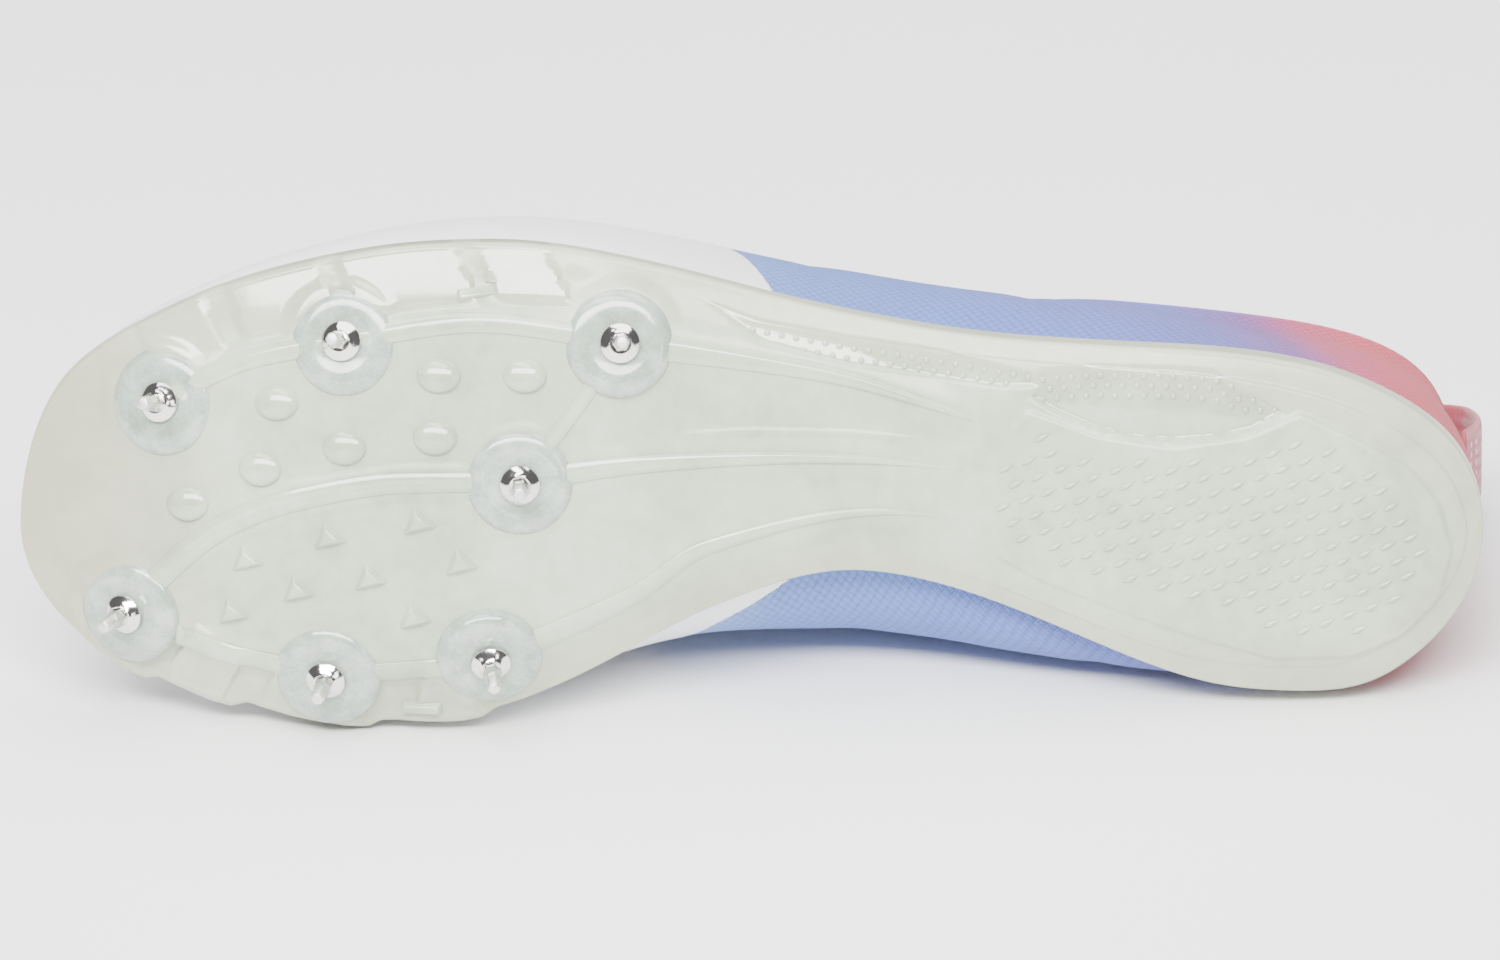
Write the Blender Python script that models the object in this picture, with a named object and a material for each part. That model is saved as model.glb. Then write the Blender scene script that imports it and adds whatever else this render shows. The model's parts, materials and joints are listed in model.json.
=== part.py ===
# Left track spike shoe, lying on its medial side.
# Modelled in the shoe's own frame: X from the heel (0) to the toe, Y to the lateral side, Z up from the tread.
# The empty "rest" lays the whole shoe down.

import math

import bmesh
import bpy
from mathutils import Matrix, Vector
from mathutils.bvhtree import BVHTree

MM = 0.001

# Driving sizes
LENGTH = 279 * MM
BALL_WIDTH = 94 * MM
INSTEP_HEIGHT = 80 * MM
HEEL_HEIGHT = 64 * MM
TOE_SPRING = 22 * MM
ARCH_RISE = 5 * MM
CAMBER = 8 * MM
PLATE_WALL = 2.0 * MM
LIP_HEIGHT = 6.5 * MM
LIP_WALL = 1.5 * MM
UPPER_WALL = 1.6 * MM
INSOLE_THICKNESS = 3.0 * MM
TONGUE_THICKNESS = 2.4 * MM
GAP = 0.35 * MM

BOSS_RADIUS = 10.3 * MM
BOSS_HEIGHT = 2.4 * MM
BOSS_BEVEL = 1.6 * MM
RIB_HEIGHT = 1.3 * MM
NUB_HEIGHT = 1.1 * MM
PAD_HEIGHT = 0.55 * MM
CLEAT_HEIGHT = 1.2 * MM
CLEAT_REACH = {"lateral": 0.0, "medial": 1.5 * MM}
BURY = 0.9 * MM
SEAT_REACH = 4 * MM

FLANGE_RADIUS = 3.8 * MM
FLANGE_HEIGHT = 1.9 * MM
PIN_RADIUS = 1.75 * MM
PIN_LENGTH = 6.35 * MM
SHANK_RADIUS = 2.3 * MM
SHANK_LENGTH = 3.0 * MM

EYELET_RADIUS = 2.2 * MM
LACE_WIDTH = 5.5 * MM
LACE_THICKNESS = 1.1 * MM
LOOP_WIDTH = 16 * MM
LOOP_TAPE = 1.4 * MM
LOOP_RISE = 11 * MM
LOOP_DROP = 15 * MM
LOOP_DEPTH = 7 * MM
HEM = 0.8 * MM

# Resolution
AROUND = 72
HALF = AROUND // 2
RINGS = (0.0, 0.3, 0.6, 0.8)
EDGE_RING = 0.93
CLIMB = 8
BOSS_SIDES = 16
NUB_SIDES = 6
SPIKE_SIDES = 9
SOCKET_SIDES = 12
EYELET_SIDES = 8
LACE_STEPS = 9
LOOP_STEPS = 20
FLAT_SHARE = 0.3
MARGIN_SHARE = 0.8
FAN_SHARE = 0.25
SPINE_HEEL = 0.08
SPINE_TOE = 0.93

# Outline of the plate seen from above. Station is a share of the length, the edges are shares of the ball width.
# Belly is how far the wall of the upper swells past the plate, also a share of the ball width.
PLAN_COLUMNS = ("station", "lateral", "medial", "lateral_belly", "medial_belly")
PLAN = (
    (0.000, -0.113, -0.113, 0.025, 0.025),
    (0.020, 0.063, -0.293, 0.022, 0.022),
    (0.051, 0.141, -0.388, 0.018, 0.015),
    (0.082, 0.188, -0.441, 0.015, 0.010),
    (0.112, 0.221, -0.453, 0.012, 0.010),
    (0.174, 0.253, -0.444, 0.012, 0.015),
    (0.235, 0.264, -0.388, 0.034, 0.053),
    (0.296, 0.269, -0.314, 0.052, 0.096),
    (0.357, 0.283, -0.247, 0.056, 0.137),
    (0.418, 0.313, -0.209, 0.056, 0.160),
    (0.450, 0.334, -0.205, 0.054, 0.168),
    (0.480, 0.356, -0.235, 0.052, 0.148),
    (0.541, 0.409, -0.301, 0.050, 0.102),
    (0.602, 0.452, -0.406, 0.053, 0.046),
    (0.663, 0.476, -0.488, 0.055, 0.025),
    (0.724, 0.469, -0.524, 0.055, 0.018),
    (0.786, 0.436, -0.527, 0.055, 0.015),
    (0.847, 0.382, -0.498, 0.050, 0.012),
    (0.908, 0.298, -0.452, 0.040, 0.010),
    (0.939, 0.240, -0.413, 0.034, 0.010),
    (0.969, 0.162, -0.348, 0.026, 0.012),
    (1.000, -0.155, -0.155, 0.016, 0.016),
)

# Underside along the length: shares of the toe spring, the arch rise, the camber and the lip's height.
UNDERSIDE_COLUMNS = ("station", "spring", "arch", "roll", "lip")
UNDERSIDE = (
    (0.00, 0.03, 0.0, 0.50, 0.90),
    (0.06, 0.00, 0.0, 0.55, 0.90),
    (0.22, 0.00, 0.0, 0.55, 0.85),
    (0.30, 0.00, 0.45, 0.55, 0.80),
    (0.42, 0.00, 1.0, 0.55, 0.70),
    (0.52, 0.00, 0.50, 0.75, 0.55),
    (0.60, 0.00, 0.0, 0.95, 0.50),
    (0.68, 0.00, 0.0, 1.00, 0.50),
    (0.74, 0.06, 0.0, 1.00, 0.50),
    (0.80, 0.18, 0.0, 0.95, 0.50),
    (0.86, 0.365, 0.0, 0.85, 0.48),
    (0.92, 0.60, 0.0, 0.62, 0.45),
    (0.96, 0.79, 0.0, 0.45, 0.42),
    (1.00, 1.00, 0.0, 0.30, 0.40),
)

# Top edge of the upper, by the turn around the foot: 0 at the back of the heel, 1 at the tip of the toe.
# Middle and half are shares of the ball width, and with half at zero both sides meet in a ridge.
# Height is a share of the instep height. Roof is how far the wall arches inward before it ends.
TOPLINE_COLUMNS = ("turn", "station", "middle", "half", "height", "roof")
TOPLINE = (
    (0.00, 0.018, -0.113, 0.000, 0.83, 0.00),
    (0.05, 0.021, -0.113, 0.075, 0.825, 0.00),
    (0.10, 0.031, -0.110, 0.145, 0.81, 0.00),
    (0.15, 0.052, -0.105, 0.205, 0.785, 0.00),
    (0.20, 0.085, -0.095, 0.245, 0.75, 0.00),
    (0.25, 0.128, -0.080, 0.268, 0.70, 0.00),
    (0.30, 0.182, -0.062, 0.278, 0.66, 0.03),
    (0.35, 0.245, -0.045, 0.275, 0.67, 0.10),
    (0.40, 0.312, -0.030, 0.250, 0.76, 0.25),
    (0.44, 0.366, -0.020, 0.205, 0.88, 0.45),
    (0.47, 0.404, -0.015, 0.165, 0.95, 0.60),
    (0.50, 0.440, -0.012, 0.140, 0.94, 0.70),
    (0.55, 0.505, -0.015, 0.122, 0.875, 0.85),
    (0.60, 0.570, -0.022, 0.105, 0.795, 0.95),
    (0.64, 0.622, -0.030, 0.085, 0.73, 1.00),
    (0.67, 0.660, -0.037, 0.055, 0.685, 1.00),
    (0.69, 0.684, -0.042, 0.000, 0.66, 1.00),
    (0.75, 0.745, -0.058, 0.000, 0.60, 1.00),
    (0.82, 0.810, -0.080, 0.000, 0.56, 1.00),
    (0.90, 0.868, -0.110, 0.000, 0.555, 1.00),
    (1.00, 0.915, -0.140, 0.000, 0.555, 1.00),
)

# Behind this station the top edge follows the heel's height, which is otherwise this share of the instep's.
HEEL_SHARE = 0.18
HEEL_OF_INSTEP = 0.8

# Spike bosses: station and offset from the middle, shares of the length and of the ball width.
BOSSES = {
    "spike_1": (0.902, 0.137),
    "spike_2": (0.777, 0.279),
    "spike_3": (0.588, 0.285),
    "spike_4": (0.656, 0.000),
    "spike_5": (0.928, -0.305),
    "spike_6": (0.789, -0.420),
    "spike_7": (0.676, -0.380),
}

# Ribs: half-width at each end, then the route as stations and offsets, by the same shares.
RIBS = {
    "front_lateral": (1.7 * MM, 1.9 * MM, ((0.902, 0.137), (0.840, 0.232), (0.777, 0.279))),
    "outer_lateral": (1.9 * MM, 1.9 * MM, ((0.777, 0.279), (0.684, 0.322), (0.588, 0.285))),
    "waist_lateral": (2.6 * MM, 0.7 * MM, ((0.588, 0.285), (0.440, 0.202), (0.332, 0.100))),
    "centre_front": (
        2.4 * MM, 1.9 * MM,
        ((0.928, -0.305), (0.862, -0.120), (0.811, -0.052), (0.738, -0.008), (0.656, 0.0)),
    ),
    "centre_back": (
        2.2 * MM, 0.7 * MM,
        ((0.656, 0.0), (0.568, 0.034), (0.490, 0.039), (0.431, 0.033), (0.355, 0.010)),
    ),
    "front_medial": (1.9 * MM, 1.9 * MM, ((0.928, -0.305), (0.857, -0.385), (0.789, -0.420))),
    "outer_medial": (1.9 * MM, 1.9 * MM, ((0.789, -0.420), (0.732, -0.406), (0.676, -0.380))),
    "waist_medial": (
        2.4 * MM, 0.7 * MM,
        ((0.676, -0.380), (0.577, -0.240), (0.529, -0.146), (0.411, -0.077), (0.354, -0.091)),
    ),
    "link": (1.5 * MM, 1.5 * MM, ((0.588, 0.285), (0.620, 0.142), (0.656, 0.0))),
}
CROWN_SHARE = 0.55

# Cleats along the edge of the forefoot: side, then the stations between which each runs.
CLEATS = (
    ("lateral", 0.634, 0.677),
    ("lateral", 0.694, 0.772),
    ("lateral", 0.787, 0.849),
    ("lateral", 0.867, 0.910),
    ("medial", 0.681, 0.726),
    ("medial", 0.760, 0.828),
    ("medial", 0.853, 0.892),
    ("medial", 0.912, 0.946),
)
CLEAT_INNER = 0.86
CLEAT_FOOT = 0.82

# Outline of the heel pad: station and offset, by the same shares.
HEEL_PAD = (
    (0.310, 0.136),
    (0.264, 0.087),
    (0.211, 0.066),
    (0.161, 0.089),
    (0.126, 0.134),
    (0.091, 0.087),
    (0.052, 0.024),
    (0.031, -0.053),
    (0.022, -0.149),
    (0.030, -0.250),
    (0.054, -0.330),
    (0.090, -0.374),
    (0.143, -0.377),
    (0.197, -0.330),
    (0.251, -0.272),
    (0.301, -0.219),
    (0.330, -0.171),
    (0.343, -0.080),
    (0.341, 0.026),
    (0.326, 0.091),
)
PAD_RINGS = (0.98, 0.62)
PAD_CROWN = 0.25

# Nubs between the ribs: station, offset, by the same shares, and radius.
NUBS = (
    (0.711, 0.215, 3.8 * MM),
    (0.653, 0.216, 3.8 * MM),
    (0.822, 0.149, 3.8 * MM),
    (0.776, 0.061, 3.8 * MM),
    (0.714, 0.088, 3.8 * MM),
    (0.834, 0.010, 3.6 * MM),
    (0.883, -0.073, 3.6 * MM),
    (0.726, -0.093, 2.8 * MM),
    (0.787, -0.130, 2.8 * MM),
    (0.843, -0.186, 2.8 * MM),
    (0.697, -0.178, 2.8 * MM),
    (0.759, -0.215, 2.8 * MM),
    (0.809, -0.248, 2.8 * MM),
    (0.853, -0.301, 2.8 * MM),
    (0.729, -0.297, 2.8 * MM),
)

# Turns around the foot where the eyelets sit, from the vamp to the collar, and how far up the wall.
EYELET_TURNS = (0.655, 0.615, 0.575, 0.535, 0.495, 0.460)
EYELET_CLIMB = 0.86
EDGE_ACROSS = 0.6
THROAT_CROWN = 0.07

# Tongue sections from under the vamp to the collar: the upper's column they lie under, the rows of the
# upper's wall between which they run, and the arch of their middle. Then steps of its free end with their width.
TONGUE = (
    (26, 6.0, 7.6, 0.00),
    (25, 6.0, 7.6, 0.00),
    (24, 6.0, 8.0, 0.03),
    (23, 6.0, 8.0, 0.06),
    (22, 6.0, 8.0, 0.07),
    (21, 6.0, 8.0, 0.07),
    (20, 6.1, 8.0, 0.07),
    (19, 6.4, 8.0, 0.07),
    (18, 6.9, 8.0, 0.07),
    (17, 7.5, 8.0, 0.07),
)
TONGUE_RISE = 24 * MM
TONGUE_LEAN = math.radians(38)
TONGUE_TIP = ((0.3, 0.82), (0.65, 0.80), (0.9, 0.70), (1.0, 0.50))

# Kilograms in a cubic metre
DENSITY = {"sole_plate": 1150, "upper": 700, "insole": 250, "tongue": 350, "lace": 1000, "pull_loop": 1000}
STEEL_DENSITY = 7850


def clear_scene():
    for item in list(bpy.data.objects):
        bpy.data.objects.remove(item, do_unlink=True)


def column(columns, rows, name):
    keys = [row[0] for row in rows]
    values = [row[columns.index(name)] for row in rows]
    return keys, values


def read_curve(curve, at):
    """Smooth value of a table's column that never swings past its rows."""
    keys, values = curve
    at = min(max(at, keys[0]), keys[-1])
    slopes = [(values[k + 1] - values[k]) / (keys[k + 1] - keys[k]) for k in range(len(keys) - 1)]
    lean = [slopes[0]]
    for before, after in zip(slopes, slopes[1:]):
        lean.append(0.0 if before * after <= 0 else 2 * before * after / (before + after))
    lean.append(slopes[-1])
    k = max(j for j in range(len(keys) - 1) if keys[j] <= at)
    span = keys[k + 1] - keys[k]
    t = (at - keys[k]) / span
    start = (1 + 2 * t) * (1 - t) ** 2 * values[k] + t * (1 - t) ** 2 * span * lean[k]
    end = t * t * (3 - 2 * t) * values[k + 1] + t * t * (t - 1) * span * lean[k + 1]
    return start + end


def turn_of_station(station):
    return math.acos(1 - 2 * min(max(station, 0.0), 1.0)) / math.pi


def station_of_turn(turn):
    return (1 - math.cos(math.pi * turn)) / 2


# The outline is read by the turn, which keeps the heel and the toe round.
PLAN_BY_TURN = tuple((turn_of_station(row[0]),) + row[1:] for row in PLAN)
EDGE = {name: column(PLAN_COLUMNS, PLAN_BY_TURN, name) for name in PLAN_COLUMNS[1:]}
UNDER = {name: column(UNDERSIDE_COLUMNS, UNDERSIDE, name) for name in UNDERSIDE_COLUMNS[1:]}
TOP = {name: column(TOPLINE_COLUMNS, TOPLINE, name) for name in TOPLINE_COLUMNS[1:]}


def side_of(index):
    """Side and turn of an index that runs heel, lateral, toe, medial and back."""
    index %= AROUND
    if index <= HALF:
        return "lateral", index / HALF
    return "medial", (AROUND - index) / HALF


def edge_point(side, turn):
    return Vector((station_of_turn(turn) * LENGTH, read_curve(EDGE[side], turn) * BALL_WIDTH))


def spine_point(turn):
    """Point of the middle line that an edge point looks at. It fans out at the heel and the toe."""
    along = (1 - FAN_SHARE) * station_of_turn(turn) + FAN_SHARE * turn
    station = SPINE_HEEL + (SPINE_TOE - SPINE_HEEL) * along
    seen = turn_of_station(station)
    middle = (read_curve(EDGE["lateral"], seen) + read_curve(EDGE["medial"], seen)) / 2
    return Vector((station * LENGTH, middle * BALL_WIDTH))


def plan_point(side, turn, share, inset=0.0):
    """Point in plan at a share of the way from the middle line to the edge, less a length."""
    middle = spine_point(turn)
    ray = edge_point(side, turn) - middle
    return middle + ray * (share - inset / ray.length)


def share_at(side, turn, inset):
    ray = edge_point(side, turn) - spine_point(turn)
    return 1 - inset / ray.length


def tread_height(point, share):
    """Height of the underside. Camber lifts it toward the edge, past a flat middle."""
    station = point.x / LENGTH
    lift = max(0.0, (share - FLAT_SHARE) / (1 - FLAT_SHARE)) ** 2
    spring = TOE_SPRING * read_curve(UNDER["spring"], station)
    arch = ARCH_RISE * read_curve(UNDER["arch"], station)
    return spring + arch + CAMBER * read_curve(UNDER["roll"], station) * lift


def tread_point(side, turn, share, lift=0.0):
    flat = plan_point(side, turn, share)
    return Vector((flat.x, flat.y, tread_height(flat, share) + lift))


def lip_top(side, turn):
    point = tread_point(side, turn, 1.0)
    return point.z + LIP_HEIGHT * read_curve(UNDER["lip"], point.x / LENGTH)


def ring(make):
    return [make(*side_of(index)) for index in range(AROUND)]


def skin(name, rings, capped=False):
    """Mesh over closed rings of equal count. Equal points along the middle line are welded."""
    bm = bmesh.new()
    rows = [[bm.verts.new(point) for point in line] for line in rings]
    count = len(rings[0])
    for low, high in zip(rows, rows[1:]):
        for k in range(count):
            after = (k + 1) % count
            bm.faces.new((low[k], low[after], high[after], high[k]))
    if capped:
        bm.faces.new(rows[0])
        bm.faces.new(rows[-1])
    bmesh.ops.remove_doubles(bm, verts=bm.verts, dist=0.02 * MM)
    bmesh.ops.dissolve_degenerate(bm, edges=bm.edges, dist=0.01 * MM)
    return make_object(name, bm)


def make_object(name, bm, smooth=True):
    bmesh.ops.recalc_face_normals(bm, faces=bm.faces)
    mesh = bpy.data.meshes.new(name)
    bm.to_mesh(mesh)
    bm.free()
    if smooth:
        mesh.shade_smooth()
        mesh.set_sharp_from_angle(angle=math.radians(40))
    item = bpy.data.objects.new(name, mesh)
    bpy.context.scene.collection.objects.link(item)
    return item


def paint(item, colour, roughness, metallic=0.0):
    material = bpy.data.materials.new(item.name)
    material.use_nodes = True
    shader = material.node_tree.nodes["Principled BSDF"]
    shader.inputs["Base Color"].default_value = (*colour, 1.0)
    shader.inputs["Roughness"].default_value = roughness
    shader.inputs["Metallic"].default_value = metallic
    item.data.materials.append(material)


def hide_tool(item):
    item.hide_render = True
    item.display_type = "WIRE"


def combine(item, tools, operation, label):
    """Boolean of an object with a group of tools, kept as a modifier."""
    group = bpy.data.collections.new(label)
    bpy.context.scene.collection.children.link(group)
    for tool in tools:
        bpy.context.scene.collection.objects.unlink(tool)
        group.objects.link(tool)
        hide_tool(tool)
    modifier = item.modifiers.new(label, "BOOLEAN")
    modifier.operation = operation
    modifier.operand_type = "COLLECTION"
    modifier.collection = group
    modifier.solver = "EXACT"


# Sole plate
def plate_shell():
    rings = [ring(lambda side, turn, r=r: tread_point(side, turn, r)) for r in RINGS + (EDGE_RING, 1.0)]

    def wall_point(side, turn, inset, height):
        flat = plan_point(side, turn, 1.0, inset)
        return Vector((flat.x, flat.y, height))

    rings.append(ring(lambda side, turn: wall_point(side, turn, 0.0, lip_top(side, turn))))
    rings.append(ring(lambda side, turn: wall_point(side, turn, LIP_WALL, lip_top(side, turn))))

    def floor_corner(side, turn):
        share = share_at(side, turn, LIP_WALL)
        return tread_point(side, turn, share, PLATE_WALL)

    rings.append(ring(floor_corner))
    for r in reversed(RINGS):
        rings.append(ring(lambda side, turn, r=r: tread_point(side, turn, r, PLATE_WALL)))
    return skin("sole_plate", rings)


class Underside:
    """The plate's underside as a surface that lugs are seated on."""

    def __init__(self, plate):
        bm = bmesh.new()
        bm.from_mesh(plate.data)
        self.tree = BVHTree.FromBMesh(bm)
        bm.free()

    def height(self, x, y):
        start = Vector((x, y, -LENGTH))
        hit = self.tree.ray_cast(start, Vector((0, 0, 1)))[0]
        return (hit or self.tree.find_nearest(Vector((x, y, 0)))[0]).z

    def seat(self, station, offset, reach=SEAT_REACH):
        """Frame on the underside whose Z points out of the sole."""
        x = station * LENGTH
        y = offset * BALL_WIDTH
        along = (self.height(x + reach, y) - self.height(x - reach, y)) / (2 * reach)
        across = (self.height(x, y + reach) - self.height(x, y - reach)) / (2 * reach)
        out = Vector((along, across, -1)).normalized()
        forward = Vector((1, 0, along)).normalized()
        sideways = out.cross(forward)
        frame = Matrix((forward, sideways, out)).transposed().to_4x4()
        frame.translation = Vector((x, y, self.height(x, y)))
        return frame


def turned(name, outline, frame, sides):
    """Closed turned body about its Z axis: rows of radius and height from one end to the other."""
    bm = bmesh.new()
    rows = []
    for radius, height in outline:
        if radius == 0:
            rows.append([bm.verts.new((0, 0, height))])
            continue
        turns = [math.tau * k / sides for k in range(sides)]
        rows.append([bm.verts.new((radius * math.cos(a), radius * math.sin(a), height)) for a in turns])
    for low, high in zip(rows, rows[1:]):
        for k in range(sides):
            corners = [low[k % len(low)], low[(k + 1) % sides % len(low)]]
            corners += [high[(k + 1) % sides % len(high)], high[k % len(high)]]
            bm.faces.new(list(dict.fromkeys(corners)))
    bm.transform(frame)
    return make_object(name, bm)


def boss(name, frame):
    outline = (
        (0, -BURY),
        (BOSS_RADIUS, -BURY),
        (BOSS_RADIUS, BOSS_HEIGHT - BOSS_BEVEL),
        (BOSS_RADIUS - BOSS_BEVEL, BOSS_HEIGHT),
        (0, BOSS_HEIGHT),
    )
    return turned("boss_" + name, outline, frame, BOSS_SIDES)


def nub(number, frame, radius):
    outline = ((0, -BURY), (1.15 * radius, -BURY), (0.6 * radius, NUB_HEIGHT), (0, NUB_HEIGHT))
    return turned("nub_%d" % number, outline, frame, NUB_SIDES)


def smooth_route(points, count):
    """Points along a curve through the given ones."""
    reach = [0.0]
    for before, after in zip(points, points[1:]):
        reach.append(reach[-1] + math.dist(before, after))
    axes = [[point[axis] for point in points] for axis in range(len(points[0]))]
    steps = [reach[-1] * k / (count - 1) for k in range(count)]
    return [tuple(read_curve((reach, axis), step) for axis in axes) for step in steps]


def rib(name, surface, start_half, end_half, route):
    """Low bar with a flat crown that follows the underside."""
    steps = 3 * len(route) - 2
    scale = (LENGTH, BALL_WIDTH)
    flat = smooth_route([(s * scale[0], o * scale[1]) for s, o in route], steps)
    bm = bmesh.new()
    rows = []
    for k, (x, y) in enumerate(flat):
        before = Vector(flat[max(k - 1, 0)])
        after = Vector(flat[min(k + 1, steps - 1)])
        frame = surface.seat(x / LENGTH, y / BALL_WIDTH, start_half)
        out = frame.to_3x3() @ Vector((0, 0, 1))
        run = (after - before).to_3d().normalized()
        sideways = out.cross(run).normalized()
        half = start_half + (end_half - start_half) * k / (steps - 1)
        crown = CROWN_SHARE * half
        section = ((-half, -BURY), (-crown, RIB_HEIGHT), (crown, RIB_HEIGHT), (half, -BURY))
        rows.append([bm.verts.new(frame.translation + sideways * a + out * b) for a, b in section])
    return closed_bar("rib_" + name, bm, rows)


def closed_bar(name, bm, rows):
    """Solid through rows of corners, its faces cut in triangles so that they stay flat."""
    for low, high in zip(rows, rows[1:]):
        for k in range(len(low)):
            after = (k + 1) % len(low)
            bm.faces.new((low[k], low[after], high[after], high[k]))
    bm.faces.new(rows[0])
    bm.faces.new(rows[-1])
    bmesh.ops.triangulate(bm, faces=bm.faces)
    return make_object(name, bm, smooth=False)


def cleat(number, side, start, end):
    """Block on the edge of the forefoot that stands out past the lip."""
    bm = bmesh.new()
    rows = []
    for share in (0.0, 0.12, 0.6, 1.0):
        turn = turn_of_station(start + (end - start) * share)
        reach = CLEAT_REACH[side] * (1 - share) + GAP
        foot = tread_point(side, turn, CLEAT_FOOT, BURY)
        crest = tread_point(side, turn, CLEAT_INNER, -CLEAT_HEIGHT)
        edge = tread_point(side, turn, 1.0)
        out = (edge_point(side, turn) - spine_point(turn)).normalized().to_3d()
        rim = edge + out * reach - Vector((0, 0, CLEAT_HEIGHT / 2))
        side_top = edge + out * reach + Vector((0, 0, PLATE_WALL))
        anchor = edge - out * LIP_WALL / 2 + Vector((0, 0, PLATE_WALL))
        rows.append([bm.verts.new(point) for point in (foot, crest, rim, side_top, anchor)])
    return closed_bar("cleat_%d" % number, bm, rows)


def heel_pad(surface):
    """Low slab under the heel that follows the underside round a flat crown."""
    points = [Vector((station * LENGTH, offset * BALL_WIDTH)) for station, offset in HEEL_PAD]
    middle = sum(points, Vector((0, 0))) / len(points)
    bm = bmesh.new()

    def loop(share, lift):
        flat = [middle.lerp(point, share) for point in points]
        return [bm.verts.new((p.x, p.y, surface.height(p.x, p.y) - lift)) for p in flat]

    rows = [loop(PAD_CROWN, -BURY), loop(1.0, -BURY)] + [loop(share, PAD_HEIGHT) for share in PAD_RINGS]
    rows.append([bm.verts.new((*middle.lerp(point, PAD_CROWN), -PAD_HEIGHT)) for point in points])
    return closed_bar("heel_pad", bm, rows)


def build_plate():
    plate = plate_shell()
    surface = Underside(plate)
    frames = {name: surface.seat(*place) for name, place in BOSSES.items()}
    lugs = [rib(name, surface, *row) for name, row in RIBS.items()]
    lugs += [boss(name, frame) for name, frame in frames.items()]
    lugs += [nub(k, surface.seat(s, o), r) for k, (s, o, r) in enumerate(NUBS)]
    lugs += [cleat(k, *row) for k, row in enumerate(CLEATS)]
    lugs.append(heel_pad(surface))
    combine(plate, lugs, "UNION", "lugs")
    depth = SHANK_LENGTH + GAP
    bore = ((0, BOSS_HEIGHT - depth), (SHANK_RADIUS + GAP, BOSS_HEIGHT - depth))
    bore += ((SHANK_RADIUS + GAP, BOSS_HEIGHT + 1 * MM), (0, BOSS_HEIGHT + 1 * MM))
    sockets = [turned("socket_" + name, bore, frame, SOCKET_SIDES) for name, frame in frames.items()]
    combine(plate, sockets, "DIFFERENCE", "sockets")
    paint(plate, (0.68, 0.71, 0.66), 0.25)
    return plate, frames


# Spikes
def build_spike(name, frame):
    """Threaded shank, domed flange and blunt pin, turned in one piece."""
    face = BOSS_HEIGHT + GAP
    top = face + FLANGE_HEIGHT
    outline = (
        (0, BOSS_HEIGHT - SHANK_LENGTH),
        (SHANK_RADIUS, BOSS_HEIGHT - SHANK_LENGTH),
        (SHANK_RADIUS, face),
        (FLANGE_RADIUS, face),
        (FLANGE_RADIUS, face + 0.35 * FLANGE_HEIGHT),
        (0.75 * FLANGE_RADIUS, face + 0.8 * FLANGE_HEIGHT),
        (PIN_RADIUS, top),
        (0.85 * PIN_RADIUS, top + 0.75 * PIN_LENGTH),
        (0.4 * PIN_RADIUS, top + PIN_LENGTH),
        (0, top + PIN_LENGTH),
    )
    spike = turned(name, outline, frame, SPIKE_SIDES)
    paint(spike, (0.75, 0.75, 0.74), 0.15, 1.0)
    return spike


# Upper
def top_point(side, turn):
    """Point of the upper's top edge, or of its ridge where the two sides meet."""
    sign = 1 if side == "lateral" else -1
    offset = read_curve(TOP["middle"], turn) + sign * read_curve(TOP["half"], turn)
    heel = max(0.0, 1 - read_curve(TOP["station"], turn) / HEEL_SHARE)
    height = INSTEP_HEIGHT * read_curve(TOP["height"], turn)
    height += (HEEL_HEIGHT - HEEL_OF_INSTEP * INSTEP_HEIGHT) * heel
    return Vector((read_curve(TOP["station"], turn) * LENGTH, offset * BALL_WIDTH, height))


def upper_inset():
    return LIP_WALL + GAP


def foot_point(side, turn, height):
    flat = plan_point(side, turn, 1.0, upper_inset())
    return Vector((flat.x, flat.y, height))


# Shape of the wall's curve: how high its lower control point stands, how far its upper one stands aside or
# hangs down, and how much of the belly each takes.
LOW_RISE = 0.42
LOW_ROOF_RISE = 0.18
LOW_BELLY = 1.5
LEVEL_SPAN = 0.62
LEVEL_BELLY = 0.9
STEEP_SPAN = 0.06
STEEP_BELLY = 0.8
STEEP_RISE = 0.38


def wall_curve(side, turn):
    """Four control points of the wall's curve from the lip up to the top edge."""
    foot = foot_point(side, turn, lip_top(side, turn) + GAP)
    top = top_point(side, turn)
    flat = edge_point(side, turn) - spine_point(turn)
    out = flat.to_3d().normalized()
    belly = read_curve(EDGE[side + "_belly"], turn) * BALL_WIDTH
    roof = read_curve(TOP["roof"], turn)
    rise = top.z - foot.z
    span = (foot - top).to_2d().length
    low = foot + Vector((0, 0, (LOW_RISE + LOW_ROOF_RISE * roof) * rise)) + out * LOW_BELLY * belly
    level = top + (foot - top).to_2d().to_3d() * LEVEL_SPAN + out * LEVEL_BELLY * belly
    steep = top + out * (STEEP_SPAN * span + STEEP_BELLY * belly) - Vector((0, 0, STEEP_RISE * rise))
    high = steep.lerp(level, roof)
    return foot, low, high, top


def wall_point(side, turn, climb):
    a, b, c, d = wall_curve(side, turn)
    t = climb
    return a * (1 - t) ** 3 + b * 3 * t * (1 - t) ** 2 + c * 3 * t * t * (1 - t) + d * t ** 3


def wall_normal(side, turn, climb):
    """Outward direction of the wall, from its own curves."""
    step = 0.004
    low = wall_point(side, turn, max(climb - step, 0.0))
    high = wall_point(side, turn, min(climb + step, 1.0))
    before = wall_point(side, max(turn - step, 0.001), climb)
    after = wall_point(side, min(turn + step, 0.999), climb)
    out = (after - before).cross(high - low)
    return (out if side == "lateral" else -out).normalized() * -1


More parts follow.
